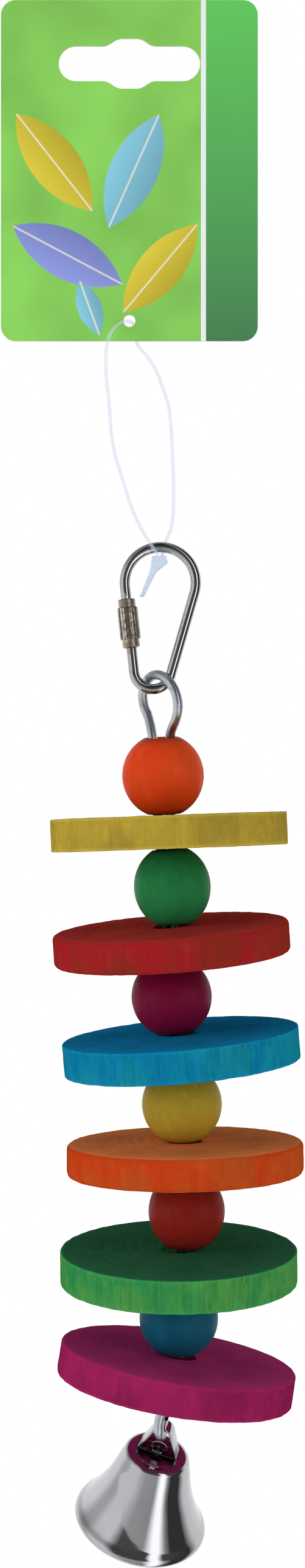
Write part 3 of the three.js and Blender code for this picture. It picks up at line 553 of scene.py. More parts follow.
class BIRDTOY_OT_stage(bpy.types.Operator):
    """Set the camera, the pale floor, the soft lights and the white surround"""

    bl_idname = "birdtoy.stage"
    bl_label = "Stage"

    # The photograph's camera: its height in pixels, pixels for a millimetre at the toy, and where it stands
    PHOTO_HEIGHT_PX = 2576
    PHOTO_PX_PER_MM = 7.25
    CAMERA_PLACE = Vector((5.24, -490, -168.8)) * MM
    SENSOR_HEIGHT_MM = 36
    CLIP_START = 10 * MM

    # The floor, how far out it turns white, how white it is in the middle, and its colour
    FLOOR_DROP = 70 * MM
    FLOOR_SIZE = 6.0
    FLOOR_FADE = (60 * MM, 220 * MM)
    FLOOR_WHITE = 0.7
    FLOOR_COLOUR = "#F2F2F2"

    # Each lamp's place, its width and height, and its power
    LAMPS = {
        "Left lamp": ((-0.9, -0.45, -0.1), (0.5, 1.0), 8.5),
        "Right lamp": ((0.9, -0.45, -0.1), (0.5, 1.0), 6.0),
        "Front lamp": ((0.05, -1.15, 0.0), (0.4, 0.4), 2.6),
        "Back lamp": ((0.1, 1.1, -0.25), (0.8, 1.0), 7.2),
    }
    LAMP_TARGET = Vector((0.006, 0, -0.19))

    # What metal mirrors of the floor, as painted reflections, and of the walls: degrees from the front to the
    #     # right, and the strength
    GROUND = [(-180, 1), (-110, 0.88), (-50, 0.85), (-25, 0.48), (12, 0.42), (27, 1.8), (38, 1.8), (50, 0.4),
              (60, 0.05), (92, 0.05), (112, 0.85), (180, 1)]
    WALLS = [(-180, 1), (-125, 1), (-105, 0.6), (-90, 0.6), (-75, 0.9), (-45, 0.9), (-28, 0.1), (22, 0.08),
             (29, 1.8), (38, 1.8), (46, 0.1), (92, 0.04), (110, 0.9), (180, 1)]
    # How steeply upwards the walls start and end to dim, their shares of light there, and the light all round
    DIMMING = (0.2, 0.8, 1, 0.35)
    AMBIENT = 0.12

    def execute(self, context):
        self.camera(context)
        self.floor()
        self.lights(context)
        self.surround(context)
        context.scene.view_settings.view_transform = "Standard"
        return {"FINISHED"}

    def camera(self, context):
        """The photograph's level view, square to the card."""
        data = bpy.data.cameras.new("Camera")
        camera = bpy.data.objects.new("Camera", data)
        context.scene.collection.objects.link(camera)
        focal_px = self.PHOTO_PX_PER_MM * -self.CAMERA_PLACE.y / MM
        data.sensor_fit = "VERTICAL"
        data.sensor_height = self.SENSOR_HEIGHT_MM
        data.lens = focal_px / self.PHOTO_HEIGHT_PX * self.SENSOR_HEIGHT_MM
        data.clip_start = self.CLIP_START
        camera.location = self.CAMERA_PLACE
        camera.rotation_euler = (math.pi / 2, 0, 0)
        context.scene.camera = camera

    def floor(self):
        """A pale floor that takes the toy's shadow and fades into white; metal mirrors painted reflections in
        it.
        """
        deselect()
        bpy.ops.mesh.primitive_plane_add(
            size=self.FLOOR_SIZE, location=(0, 0, CAD_BOX[0][2] - self.FLOOR_DROP))
        floor = bpy.context.object
        floor.name = "floor"
        material, add = new_material("White floor")
        coords = add("coords")
        far = add("ease", add("length", coords), *self.FLOOR_FADE, self.FLOOR_WHITE, 1)
        matt = add("matt", shade(self.FLOOR_COLOUR))
        seen = add("mix shaders", far, matt, add("glow", 1))
        lit = add("mix shaders", self.direct(add), matt, seen)
        # Painted reflections: for mirror rays the floor glows in set tones round the compass
        painted_reflection = add("glow", self.room(add, coords, self.GROUND))
        add("output", add("mix shaders", add("glossy ray"), lit, painted_reflection))
        floor.data.materials.append(material)

    def direct(self, add):
        """1 on rays from the camera and through clear pieces, which see white, and 0 on all others."""
        return add("larger", add("camera ray"), add("ray through"))

    def room(self, add, towards, sides):
        """What metal mirrors by the compass: white behind, pale at the left, a bright band in place of a lamp
        and a dark right side.
        """
        bearing = add("bearing", add("x", towards), add("times", add("y", towards), -1))
        ramp = add("ramp", add("range", bearing, -math.pi, math.pi))
        brightest = max(strength for _, strength in sides)
        stops = ramp.color_ramp.elements
        stops.remove(stops[1])
        for i, (degrees, strength) in enumerate(sides):
            turn = degrees / 360 + 0.5
            stop = stops[0] if i == 0 else stops.new(turn)
            stop.position = turn
            stop.color = (*[strength / brightest] * 3, 1)
        return add("times", ramp.outputs["Color"], brightest)

    def lights(self, context):
        """Soft lamps at the sides, in front and behind; metal mirrors the room and not the lamps."""
        for name, (location, size, power) in self.LAMPS.items():
            data = bpy.data.lights.new(name, "AREA")
            data.shape = "RECTANGLE"
            data.size, data.size_y = size
            data.energy = power
            lamp = bpy.data.objects.new(name, data)
            lamp.location = location
            lamp.rotation_euler = (self.LAMP_TARGET - lamp.location).to_track_quat("-Z", "Y").to_euler()
            lamp.visible_glossy = False
            lamp.visible_camera = False
            context.scene.collection.objects.link(lamp)

    def surround(self, context):
        """White for the camera, the room for mirrors and an even grey as light."""
        world = bpy.data.worlds.new("Studio")
        context.scene.world = world
        world.use_nodes = True
        add = node_adder(world.node_tree)
        towards = add("towards")
        dimmed = add("ease", add("z", towards), *self.DIMMING)
        room = add("times", self.room(add, towards, self.WALLS), dimmed)
        light = add("mix values", add("glossy ray"), self.AMBIENT, room)
        strength = add("mix values", self.direct(add), light, 1)
        add("world", add("background", (1, 1, 1, 1), strength))


class BIRDTOY_OT_nylon_loop(bpy.types.Operator):
    """Lay the nylon loop along its route and mould the lock that its ends snap into"""

    bl_idname = "birdtoy.nylon_loop"
    bl_label = "Nylon loop"

    # How much of the light behind them the strand and the lock cover
    STRAND_COVER = 0.26
    LOCK_COVER = 0.65
    LOCK_EDGE = 0.25 * MM
    LOCK_OUTLINE_MM = [(-1.75, 0), (1.4, 0), (1.75, -1.4), (-0.84, -3.56), (-3.58, -9.04), (-4.48, -9.04),
                       (-2.34, -3.56), (-2.2, -2.9)]

    def execute(self, context):
        route = [Vector(point) * MM for point in LOOP_ROUTE_MM]
        strand = bent_rod(route, context.scene.birdtoy_sizes.loop_diameter / 2, steps=8, round_steps=3)
        drawn_nylon = nylon("Clear drawn nylon", self.STRAND_COVER)
        finish_piece(strand, "nylon_strand", drawn_nylon, "clear_nylon", "loop", "tag_loop")
        lock = self.lock((route[0].x + route[-1].x) / 2)
        moulded_nylon = nylon("Milky moulded nylon", self.LOCK_COVER)
        finish_piece(lock, "strand_lock", moulded_nylon, "clear_nylon", "loop", "loop_lock")
        return {"FINISHED"}

    def lock(self, joined):
        """The kite-shaped lock below the joined ends, cut from its outline with all its edges rounded."""
        low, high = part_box("loop_lock")
        outline = [((x * MM, z * MM),) * 3 for x, z in self.LOCK_OUTLINE_MM]
        piece = cut_sheet([outline], high.y - low.y, self.LOCK_EDGE, edge_steps=3)
        place(piece, Matrix.Translation((joined, 0, high.z)) @ UPRIGHT)
        return piece


class BIRDTOY_OT_header_card(bpy.types.Operator):
    """Cut the header card with its peg slot and tie hole, and print it"""

    bl_idname = "birdtoy.header_card"
    bl_label = "Header card"

    CORNER = 3.4 * MM
    SLOT_LENGTH = 32 * MM
    SLOT_HEIGHT = 7.9 * MM
    BULGE_RISE = 1.7 * MM
    BULGE_WIDTH = 12.4 * MM
    PEG_FLAT = 3 * MM
    TIE_HOLE = 1.35 * MM
    TIE_HOLE_EDGE = 4.6 * MM
    EDGE = 0.06 * MM
    ARC_HANDLE = 0.5523

    # The print in millimetres: the blur of the field, the board's fibres, and the white stripe from one edge
    # to the other
    BLUR_MM = 17
    FIBRE_MM = 0.5
    STRIPE_MM = (16.2, 17.35)
    STRIPE_COLOUR = "#F1F3F8"
    BOARD_TONES = ("#DAD8D0", "#F4F3EE")
    # The detail and roughness of the blur's noise, the detail of the fibres', the values between which the
    # blur turns, and the two shades of the field and of a leaf
    BLUR_NOISE = (1, 0.4)
    FIBRE_DETAIL = 4
    BLUR_TURNS = (0.3, 0.7)
    FIELD_SHADES = (0.85, 1.15)
    LEAF_SHADES = (1.12, 0.72)
    # How soft printed edges are
    STRIPE_SOFT_MM = 0.04
    LEAF_SOFT_MM = 0.12
    # Faces turned to the front by more than this are printed
    PRINT_FACING = -0.6
    ROUGHNESS = 0.42
    SHINE = 0.25
    BUMP_STRENGTH = 0.05
    BUMP_HEIGHT = 0.05 * MM
    # The leaves: where each lies, how it leans in degrees, its length and width, and its colour
    LEAVES_MM = [
        ((-17, -28), -38, 28, 11, "#D8C63F"),
        ((1, -30), 24, 28, 11, "#86C7DC"),
        ((-14, -49), -62, 28, 11, "#8C98DE"),
        ((7, -52), 40, 26, 10, "#D8C63F"),
        ((-9, -61), -20, 13, 5.5, "#86C7DC"),
    ]
    # Distances from a leaf's middle between which its pale rib rises, and its shares of pale there
    RIB_MM = (0.3, 0.12, 0, 0.7)
    RIB_COLOUR = "#F3F1DC"

    def execute(self, context):
        low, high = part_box("header_card")
        rim = self.round_box(low.x, high.x, low.z, high.z, self.CORNER)
        hole_z = low.z + self.TIE_HOLE_EDGE
        radius = self.TIE_HOLE
        hole = self.round_box(-radius, radius, hole_z - radius, hole_z + radius, radius)
        thickness = context.scene.birdtoy_sizes.card_thickness
        card = cut_sheet([rim, self.slot(), hole], thickness, self.EDGE, edge_steps=1)
        place(card, UPRIGHT)
        board = self.printed_board(context.scene.birdtoy_colours, low, high)
        finish_piece(card, "printed_card", board, "printed_card", "card", "header_card")
        return {"FINISHED"}

    def round_box(self, left, right, low, high, corner):
        """A box with round corners, as knots with their handles."""
        pull = corner * (1 - self.ARC_HANDLE)
        knots = []
        for x, z, across, up in (
            (right, high, -1, -1), (left, high, 1, -1), (left, low, 1, 1), (right, low, -1, 1),
        ):
            on_side = ((x, z + up * corner), (x, z + up * corner), (x, z + up * pull))
            on_end = ((x + across * corner, z), (x + across * pull, z), (x + across * corner, z))
            turned = [on_side, on_end]
            if across * up < 0:
                turned = [(point, after, before) for point, before, after in reversed(turned)]
            knots += turned
        return knots

    def slot(self):
        """The peg slot, clockwise from its top: round ends, and a bulge above and below its middle."""
        end = self.SLOT_HEIGHT / 2
        top = -self.BULGE_RISE
        straight = self.SLOT_LENGTH / 2 - end
        flat = self.PEG_FLAT / 2
        half = self.BULGE_WIDTH / 2
        middle = (flat + half) / 2
        centre = top - end
        arc = end * self.ARC_HANDLE
        quarter = [
            ((flat, 0), (flat, 0), (middle, 0)),
            ((half, top), (middle, top), (half, top)),
            ((straight, top), (straight, top), (straight + arc, top)),
            ((straight + end, centre), (straight + end, centre + arc), (straight + end, centre - arc)),
        ]

        def under(point):
            return (point[0], 2 * centre - point[1])

        def across(point):
            return (-point[0], point[1])

        right = quarter + [
            (under(point), under(after), under(before)) for point, before, after in reversed(quarter[:3])]
        left = [(across(point), across(after), across(before)) for point, before, after in reversed(right)]
        return right + left

    def printed_board(self, colours, low, high):
        """Varnished offset print on white board: blurred leaf greens, a white stripe, a darker side band."""
        material, add = new_material("Printed cardboard")
        at_mm = add("scaled", add("coords"), (1 / MM,) * 3)
        blur = add("noise", at_mm, 1 / self.BLUR_MM, *self.BLUR_NOISE)
        front = add("mix", add("range", blur, *self.BLUR_TURNS),
                    *[shade(colours.card_field, share) for share in self.FIELD_SHADES])
        for leaf in self.LEAVES_MM:
            front = self.leaf(add, at_mm, front, *leaf)
        band = add("mix", add("range", add("z", at_mm), low.z / MM, high.z / MM),
                   shade(colours.card_band_foot), shade(colours.card_band_top))
        for edge, beyond in zip(self.STRIPE_MM, (shade(self.STRIPE_COLOUR), band)):
            past = add("range", add("x", at_mm), edge - self.STRIPE_SOFT_MM, edge + self.STRIPE_SOFT_MM)
            front = add("mix", past, front, beyond)
        fibre = add("noise", at_mm, 1 / self.FIBRE_MM, self.FIBRE_DETAIL)
        board = add("mix", fibre, *map(shade, self.BOARD_TONES))
        printed = add("below", add("y", add("normal")), self.PRINT_FACING)
        bump = add("bump", self.BUMP_STRENGTH, self.BUMP_HEIGHT, fibre)
        add("output", add("solid", add("mix", printed, board, front), self.ROUGHNESS, self.SHINE, bump))
        return material

    def leaf(self, add, at_mm, under, place_mm, lean, length_mm, width_mm, colour):
        """Print one leaf over a picture: two arcs that meet in points, a pale midrib and a darker half."""
        local = add("mapped", at_mm, (place_mm[0], 0, place_mm[1]), (0, math.radians(lean), 0))
        across = add("x", local)
        out = add("size", across)
        arc = (length_mm ** 2 + width_mm ** 2) / (4 * width_mm)
        reach = add("length", add("xyz", add("plus", out, arc - width_mm / 2), add("z", local)))
        inside = add("range", reach, arc + self.LEAF_SOFT_MM, arc - self.LEAF_SOFT_MM)
        halves = add("range", across, -width_mm / 2, width_mm / 2)
        blade = add("mix", halves, *[shade(colour, share) for share in self.LEAF_SHADES])
        ribbed = add("mix", add("range", out, *self.RIB_MM), blade, shade(self.RIB_COLOUR))
        return add("mix", inside, under, ribbed)


class BIRDTOY_OT_quick_link(bpy.types.Operator):
    """Bend the pear-shaped quick link and turn the knurled sleeve that closes it"""

    bl_idname = "birdtoy.quick_link"
    bl_label = "Quick link"

    TOP_RADIUS = 8.05 * MM
    FOOT_RADIUS = 4.2 * MM
    CENTRES = 20 * MM
    TILT = math.radians(5)
    # How far each side leans in towards the foot, and its length
    TAPER = math.asin((TOP_RADIUS - FOOT_RADIUS) / CENTRES)
    SIDE = math.sqrt(CENTRES ** 2 - (TOP_RADIUS - FOOT_RADIUS) ** 2)
    GAP_START = 4.413 * MM
    GAP_END = 8.613 * MM
    END_CHAMFER = 0.3 * MM
    END_STEPS = 2
    ROD_SIDES = 24
    TOP_STEPS = 48
    FOOT_STEPS = 36

    SLEEVE_MIDDLE = 8.413 * MM
    SLEEVE_HALF = 5.5 * MM
    BORE = 1.4 * MM
    COLLAR = 1.95 * MM
    COLLAR_LENGTH = 2.0 * MM
    CHAMFER = 0.2 * MM
    KNURL = 2.3 * MM
    KNURL_DEPTH = 0.24 * MM
    KNURLS = 16
    # The steps round each knurl, and those of them that are pressed in
    KNURL_STEPS = 6
    PRESSED_STEPS = (2, 3, 4)
    # The patina's clouds, the detail and roughness of their noise, and the values between which they turn and
    # are rubbed off
    PATINA = 1.2 * MM
    PATINA_NOISE = (4, 0.7)
    PATINA_TURNS = (0.3, 0.7)
    RUBBED = (0.35, 0.6)
    # How much is rubbed off from the knurls' flanks to their crests, and how rough patina and rubbed metal
    # are
    CREST = (KNURL - 0.7 * KNURL_DEPTH, KNURL, 0.15, 1)
    ROUGHNESS = (0.4, 0.16)

    def execute(self, context):
        colours = context.scene.birdtoy_colours
        top = Vector(JOINTS["link_swing"]["pos_m"]) - Vector((0, 0, self.TOP_RADIUS))
        placed = Matrix.Translation(top) @ Matrix.Rotation(self.TILT, 4, "Y")
        rod = self.rod(context.scene.birdtoy_sizes.link_rod / 2)
        place(rod, placed)
        nickel = plated_steel(
            "Nickel-plated steel", colours.nickel, "#6A5538", roughness=0.05, stain_share=0.45, placed=placed)
        finish_piece(rod, "link_rod", nickel, "nickel_rod", "link", "link_body")
        on_rod = Matrix.Translation(self.on_side(self.SLEEVE_MIDDLE)) @ Matrix.Rotation(-self.TAPER, 4, "Y")
        seat = placed @ on_rod
        sleeve = self.sleeve()
        place(sleeve, seat)
        browned = self.browned_plate(colours.browned, colours.nickel, seat)
        finish_piece(
            sleeve, "screw_sleeve", browned, "browned_sleeve", "sleeve", "link_sleeve", smooth_angle=25)
        return {"FINISHED"}

    def on_side(self, distance):
        """A point on the link's left side, a distance below the end of the top bend."""
        along = Vector((math.sin(self.TAPER), 0, -math.cos(self.TAPER)))
        start = Vector((-math.cos(self.TAPER), 0, -math.sin(self.TAPER))) * self.TOP_RADIUS
        return start + along * distance

    def rod(self, radius):
        """The rod: a circle drawn up the side, spun round the top, drawn down, spun round the foot and up."""
        deselect()
        bpy.ops.mesh.primitive_circle_add(
            vertices=self.ROD_SIDES, radius=radius, location=self.on_side(self.GAP_START),
            rotation=(0, -self.TAPER, 0))
        piece = bpy.context.object
        bpy.ops.object.transform_apply(location=True, rotation=True, scale=True)
        edit_whole()
        self.draw(self.on_side(0) - self.on_side(self.GAP_START))
        bpy.ops.mesh.spin(
            steps=self.TOP_STEPS, angle=math.pi + 2 * self.TAPER, center=(0, 0, 0), axis=(0, -1, 0))
        self.draw(Vector((-math.sin(self.TAPER), 0, -math.cos(self.TAPER))) * self.SIDE)
        bpy.ops.mesh.spin(
            steps=self.FOOT_STEPS, angle=math.pi - 2 * self.TAPER, center=(0, 0, -self.CENTRES),
            axis=(0, -1, 0))
        self.draw(self.on_side(self.GAP_END) - self.on_side(self.SIDE))
        bpy.ops.mesh.select_all(action="SELECT")
        bpy.ops.mesh.remove_doubles(threshold=MERGE)
        pick(piece, "edges", lambda edge: edge.is_boundary)
        bpy.ops.mesh.edge_face_add()
        face_outwards()
        pick(piece, "faces", lambda face: len(face.verts) == self.ROD_SIDES)
        bpy.ops.mesh.bevel(offset=self.END_CHAMFER, segments=self.END_STEPS, affect="EDGES")
        bpy.ops.object.mode_set(mode="OBJECT")
        return piece

    def draw(self, way):
        """Extrude the selected circle along a straight way."""
        bpy.ops.mesh.extrude_edges_move(TRANSFORM_OT_translate={"value": way})

    def sleeve(self):
        """The sleeve: a turned tube with smooth collars, and straight knurls pressed into its middle."""
        shoulder = self.SLEEVE_HALF - self.COLLAR_LENGTH
        half = [
            (self.BORE, self.SLEEVE_HALF),
            (self.COLLAR - self.CHAMFER, self.SLEEVE_HALF),
            (self.COLLAR, self.SLEEVE_HALF - self.CHAMFER),
            (self.COLLAR, shoulder + self.CHAMFER),
            (self.KNURL, shoulder),
        ]
        lower = [(radius, -height) for radius, height in half]
        steps = self.KNURLS * self.KNURL_STEPS
        piece = spin_profile([*half, *reversed(lower), half[0]], steps)
        step = 2 * math.pi / steps
        outside = self.KNURL - self.CHAMFER / 2
        edit_whole()
        pick(piece, "verts", lambda vert: vert.co.xy.length > outside and round(
            math.atan2(vert.co.y, vert.co.x) / step) % self.KNURL_STEPS in self.PRESSED_STEPS)
        pressed = 1 - self.KNURL_DEPTH / self.KNURL
        bpy.ops.transform.resize(value=(pressed, pressed, 1), center_override=(0, 0, 0))
        bpy.ops.object.mode_set(mode="OBJECT")
        return piece

    def browned_plate(self, brown, bright, seat):
        """Browned nickel: dark in the knurls, rubbed bright on their crests and on the collars' edges."""
        material, add = new_material("Browned nickel plate")
        local = local_coords(add, seat)
        crest = add("ease", radius_of(add, local), *self.CREST)
        cloud = add("noise", local, 1 / self.PATINA, *self.PATINA_NOISE)
        worn = add("times", crest, add("ease", cloud, *self.RUBBED))
        patina = add("mix", add("ease", cloud, *self.PATINA_TURNS), shade(brown, 0.4), shade(brown, 1.2))
        tone = add("mix", worn, patina, shade(bright, 1.2))
        add("output", add("metal", tone, add("ease", worn, 0, 1, *self.ROUGHNESS), 1))
        return material


class BIRDTOY_OT_wire_hanger(bpy.types.Operator):
    """Bend the galvanised wire: an eye round the link, two legs through the stack and a foot for the bell"""

    bl_idname = "birdtoy.wire_hanger"
    bl_label = "Wire hanger"

    EYE_TOP = -1.0 * MM
    EYE_RADIUS = 6 * MM
    EYE_HEIGHT = 14 * MM
    EYE_SHIFT = Vector((0.85, -0.6, 0)) * MM
    EYE_TURN = math.radians(50)
    EYE_LEAN = 0.9 * MM
    EYE_STEPS = 12
    NECK_HALF = 2.2 * MM
    NECK_TURN = math.radians(25)
    NECK_SIDE = 1.1 * MM
    NECK_CLOSING = 8
    LEG_HALF = 1.4 * MM
    LEG_STEPS = 14
    FOOT_TURN = math.radians(100)
    FOOT_HALF = 3.7 * MM
    FOOT_FLARE = 5.6 * MM
    FOOT_LENGTH = 13.456 * MM
    FOOT_SIDE = 0.3 * MM
    FOOT_STEPS = 10
    BOW = 4.9 * MM
    BOW_SKEW = 1.45
    BOW_SPAN = 162.85 * MM
    BUTT_GAP = 1 * MM
    # How far inside the stack's ends the wire is darkened by painted shade
    STACK_SHADE_FOOT = 3 * MM
    STACK_SHADE_TOP = 0.5 * MM

    def execute(self, context):
        foot = Vector(JOINTS["wire_swing"]["pos_m"])
        self.eye = foot + self.EYE_SHIFT + Vector((0, 0, self.EYE_TOP - self.EYE_RADIUS))
        self.neck = Vector((self.eye.x + self.NECK_SIDE, 0, foot.z + self.EYE_TOP - self.EYE_HEIGHT))
        self.bend = Vector(JOINTS["bell_swing"]["pos_m"])
        self.flare_top = self.bend.z - self.FOOT_HALF + self.FOOT_LENGTH
        bent_rod(self.route(), context.scene.birdtoy_sizes.wire / 2, steps=6, round_steps=5)
        wire = as_mesh()
        in_stack = (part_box("disc_magenta")[0].z + self.STACK_SHADE_FOOT,
                    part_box("ball_orange")[1].z - self.STACK_SHADE_TOP)
        zinc = plated_steel(
            "Galvanised wire", context.scene.birdtoy_colours.zinc, "#5A5F66", roughness=0.36, stain_share=0.4,
            placed=Matrix.Translation(foot), shaded_span=in_stack)
        finish_piece(wire, "bent_wire", zinc, "galvanised_wire", "wire", "wire_hanger")
        return {"FINISHED"}

    def middle(self, z):
        """The middle of the two legs at a height, bowed to the right in a skewed half wave."""
        share = min(max((self.neck.z - z) / self.BOW_SPAN, 0), 1)
        bow = self.BOW * math.sin(math.pi * share ** self.BOW_SKEW)
        return self.neck.x + self.FOOT_SIDE * share + bow

    def point(self, x, y, z, half, turn):
        """A point of the wire, half the legs' spacing to one side in their turned plane."""
        return Vector((x + half * math.cos(turn), y - half * math.sin(turn), z))

    def leg(self, side, z):
        """A leg's point at a height: the legs close up below the neck and twist on their way down."""
        share = (self.neck.z - z) / (self.neck.z - self.flare_top)
        half = self.LEG_HALF + (self.NECK_HALF - self.LEG_HALF) * (1 - share) ** self.NECK_CLOSING
        turn = self.NECK_TURN + (self.FOOT_TURN - self.NECK_TURN) * share
        return self.point(self.middle(z), 0, z, side * half, turn)

    def route(self):
        """The wire's line, from its end in the yellow ball up round the eye, down, round the foot and up."""
        heights = steps_between(self.neck.z, self.flare_top, self.LEG_STEPS)[1:]
        butt = JOINTS["yellow_ball_spin"]["pos_m"][2]
        clear = 2 * self.LEG_HALF
        above = [self.leg(1, z) for z in heights if z > butt + clear]
        below = [self.leg(1, z) for z in heights if z < butt - clear]
        back = [self.leg(-1, z) for z in heights]
        first = self.leg(1, butt + self.BUTT_GAP / 2)
        last = self.leg(1, butt - self.BUTT_GAP / 2)
        return [first, *reversed(above), *self.top_eye(), *back, *self.foot(), *reversed(below), last]

    def top_eye(self):
        """From the front leg's neck over the link's foot to the back leg's neck."""
        drop = self.eye.z - self.neck.z
        apart = math.hypot(self.NECK_HALF, drop)
        touch = math.acos(self.EYE_RADIUS / apart) - math.atan2(drop, self.NECK_HALF)
        front, back = [self.point(self.neck.x, 0, self.neck.z, half, self.NECK_TURN)
                       for half in (self.NECK_HALF, -self.NECK_HALF)]
        ring = []
        for angle in steps_between(touch, math.pi - touch, self.EYE_STEPS):
            half = self.EYE_RADIUS * math.cos(angle)
            z = self.eye.z + self.EYE_RADIUS * math.sin(angle)
            lean = self.EYE_LEAN * (1 - math.sin(angle))
            ring.append(self.point(self.eye.x + lean, self.eye.y, z, half, self.EYE_TURN))
        return [front, *ring, back]

    def foot(self):
        """From the back leg under the bell's strip to the front leg."""
        flare_foot = self.flare_top - self.FOOT_FLARE
        lean = (self.bend.x - self.middle(self.bend.z)) / (self.flare_top - self.bend.z)
        x = self.middle(flare_foot) + lean * self.FOOT_FLARE
        front, back = [self.point(x, 0, flare_foot, half, self.FOOT_TURN)
                       for half in (self.FOOT_HALF, -self.FOOT_HALF)]
        ring = []
        for angle in steps_between(math.pi, 2 * math.pi, self.FOOT_STEPS):
            half = self.FOOT_HALF * math.cos(angle)
            z = self.bend.z + self.FOOT_HALF * math.sin(angle)
            ring.append(self.point(self.bend.x, 0, z, half, self.FOOT_TURN))
        return [back, *ring, front]


def dyed_pieces(context, kind, made, looks, shape, roughness, worn):
    """Shape, place, dye and finish each ball or disc about its own joint; worn ones are uneven."""
    for colour, tones in looks.items():
        node = f"{kind}_{colour}"
        placed = joint_frame(f"{colour}_{kind}_spin")
        radius, half = turned_size(node, placed)
        piece = shape(colour, radius, half, getattr(context.scene.birdtoy_sizes, f"{kind}_bore"))
        place(piece, placed)
        if worn:
            roughen(piece)
        tone = getattr(context.scene.birdtoy_colours, node)
        dyed = dyed_wood(node, tone, tones, placed, radius, half, roughness, worn)
        finish_piece(piece, f"{made}_{node}", dyed, f"{colour}_wood", f"{colour}_{kind}", node)


def roughen(piece):
    """Saw and sanding marks: a slight unevenness, different on each piece."""
    cloud = bpy.data.textures.new("Sanding", "CLOUDS")
    cloud.noise_scale = UNEVEN_GRAIN
    apply_modifier(piece, "DISPLACE", texture=cloud, texture_coords="LOCAL",
                   strength=UNEVEN, mid_level=UNEVEN_CUT_IN)


class BIRDTOY_OT_wooden_balls(bpy.types.Operator):
    """Turn, bore and dye the wooden balls"""

    bl_idname = "birdtoy.wooden_balls"
    bl_label = "Wooden balls"

    SEGMENTS = 72
    RINGS = 36
    RIM = 0.3 * MM
    RIM_STEPS = 3
    RIM_SHARP = 35
    FLAT_WIDTH = 0.25 * MM
    ROUGHNESS = 0.45
    WORN = 0

    def execute(self, context):
        dyed_pieces(context, "ball", "turned", BALLS, self.ball, self.ROUGHNESS, self.WORN)
        return {"FINISHED"}

    def ball(self, colour, radius, half, bore):
        """A ball a little longer than round, cut flat at both ends and bored through, with its rims eased."""
        deselect()
        bpy.ops.mesh.primitive_uv_sphere_add(segments=self.SEGMENTS, ring_count=self.RINGS, radius=radius)
        piece = bpy.context.object
        flat = bore + self.FLAT_WIDTH
        longer = half / math.sqrt(radius ** 2 - flat ** 2)
        narrowed = bore / flat
        edit_whole()
        bpy.ops.transform.resize(value=(1, 1, longer), center_override=(0, 0, 0))
        for side in (half, -half):
            bpy.ops.mesh.select_all(action="SELECT")
            bpy.ops.mesh.bisect(
                plane_co=(0, 0, side), plane_no=(0, 0, math.copysign(1, side)), clear_outer=True)
            bpy.ops.mesh.extrude_edges_move()
            bpy.ops.transform.resize(value=(narrowed, narrowed, 1), center_override=(0, 0, side))
        pick(piece, "edges", lambda edge: edge.is_boundary)
        bpy.ops.mesh.bridge_edge_loops()
        face_outwards()
        bpy.ops.object.mode_set(mode="OBJECT")
        ease_edges(piece, self.RIM, self.RIM_STEPS, self.RIM_SHARP)
        return piece


class BIRDTOY_OT_wooden_discs(bpy.types.Operator):
    """Cut, bore, sand and dye the wooden discs"""

    bl_idname = "birdtoy.wooden_discs"
    bl_label = "Wooden discs"

    SIDES = 240
    CORNER_STEPS = 4
    RIM_CUTS = 5
    # Faces this square to the axis are the ends, and points beyond this share of the radius lie on the rim
    END_FACING = 0.9
    RIM_SHARE = 0.99
    ROUGHNESS = 0.6
    WORN = 1

    def execute(self, context):
        dyed_pieces(context, "disc", "cut", DISCS, self.disc, self.ROUGHNESS, self.WORN)
        return {"FINISHED"}

    def disc(self, colour, radius, half, bore):
        """A slice of round stock, bored through the middle, with its corners sanded off."""
        corner = DISC_CORNERS_MM[colour] * MM
        deselect()
        bpy.ops.mesh.primitive_cylinder_add(vertices=self.SIDES, radius=radius, depth=2 * half)
        piece = bpy.context.object
        edit_whole()
        pick(piece, "faces", lambda face: abs(face.normal.z) > self.END_FACING)
        bpy.ops.mesh.inset(thickness=radius - bore, depth=0)
        bpy.ops.mesh.bridge_edge_loops()
        rim = radius * self.RIM_SHARE
        pick(piece, "edges", lambda edge: all(vert.co.xy.length > rim for vert in edge.verts)
             and abs(edge.verts[0].co.z - edge.verts[1].co.z) < half)
        bpy.ops.mesh.bevel(offset=corner, segments=self.CORNER_STEPS, affect="EDGES")
        for cut in range(1, self.RIM_CUTS + 1):
            z = (half - corner) * (2 * cut / (self.RIM_CUTS + 1) - 1)
            bpy.ops.mesh.select_all(action="SELECT")
            bpy.ops.mesh.bisect(plane_co=(0, 0, z), plane_no=(0, 0, 1))
        face_outwards()
        bpy.ops.object.mode_set(mode="OBJECT")
        return piece


def bell_frame():
    """The bell's own frame: the wire's bend at its origin and the bell's axis along Z."""
    joint = JOINTS["bell_swing"]
    yaw = math.atan2(joint["axis"][1], joint["axis"][0])
    turned = Matrix.Rotation(yaw, 4, "Z") @ Matrix.Rotation(BELL_NOD, 4, "X")
    hung = Matrix.Translation((0, 0, -BIRDTOY_OT_wire_hanger.FOOT_HALF)) @ Matrix.Rotation(BELL_ROLL, 4, "Y")
    return Matrix.Translation(joint["pos_m"]) @ turned @ hung


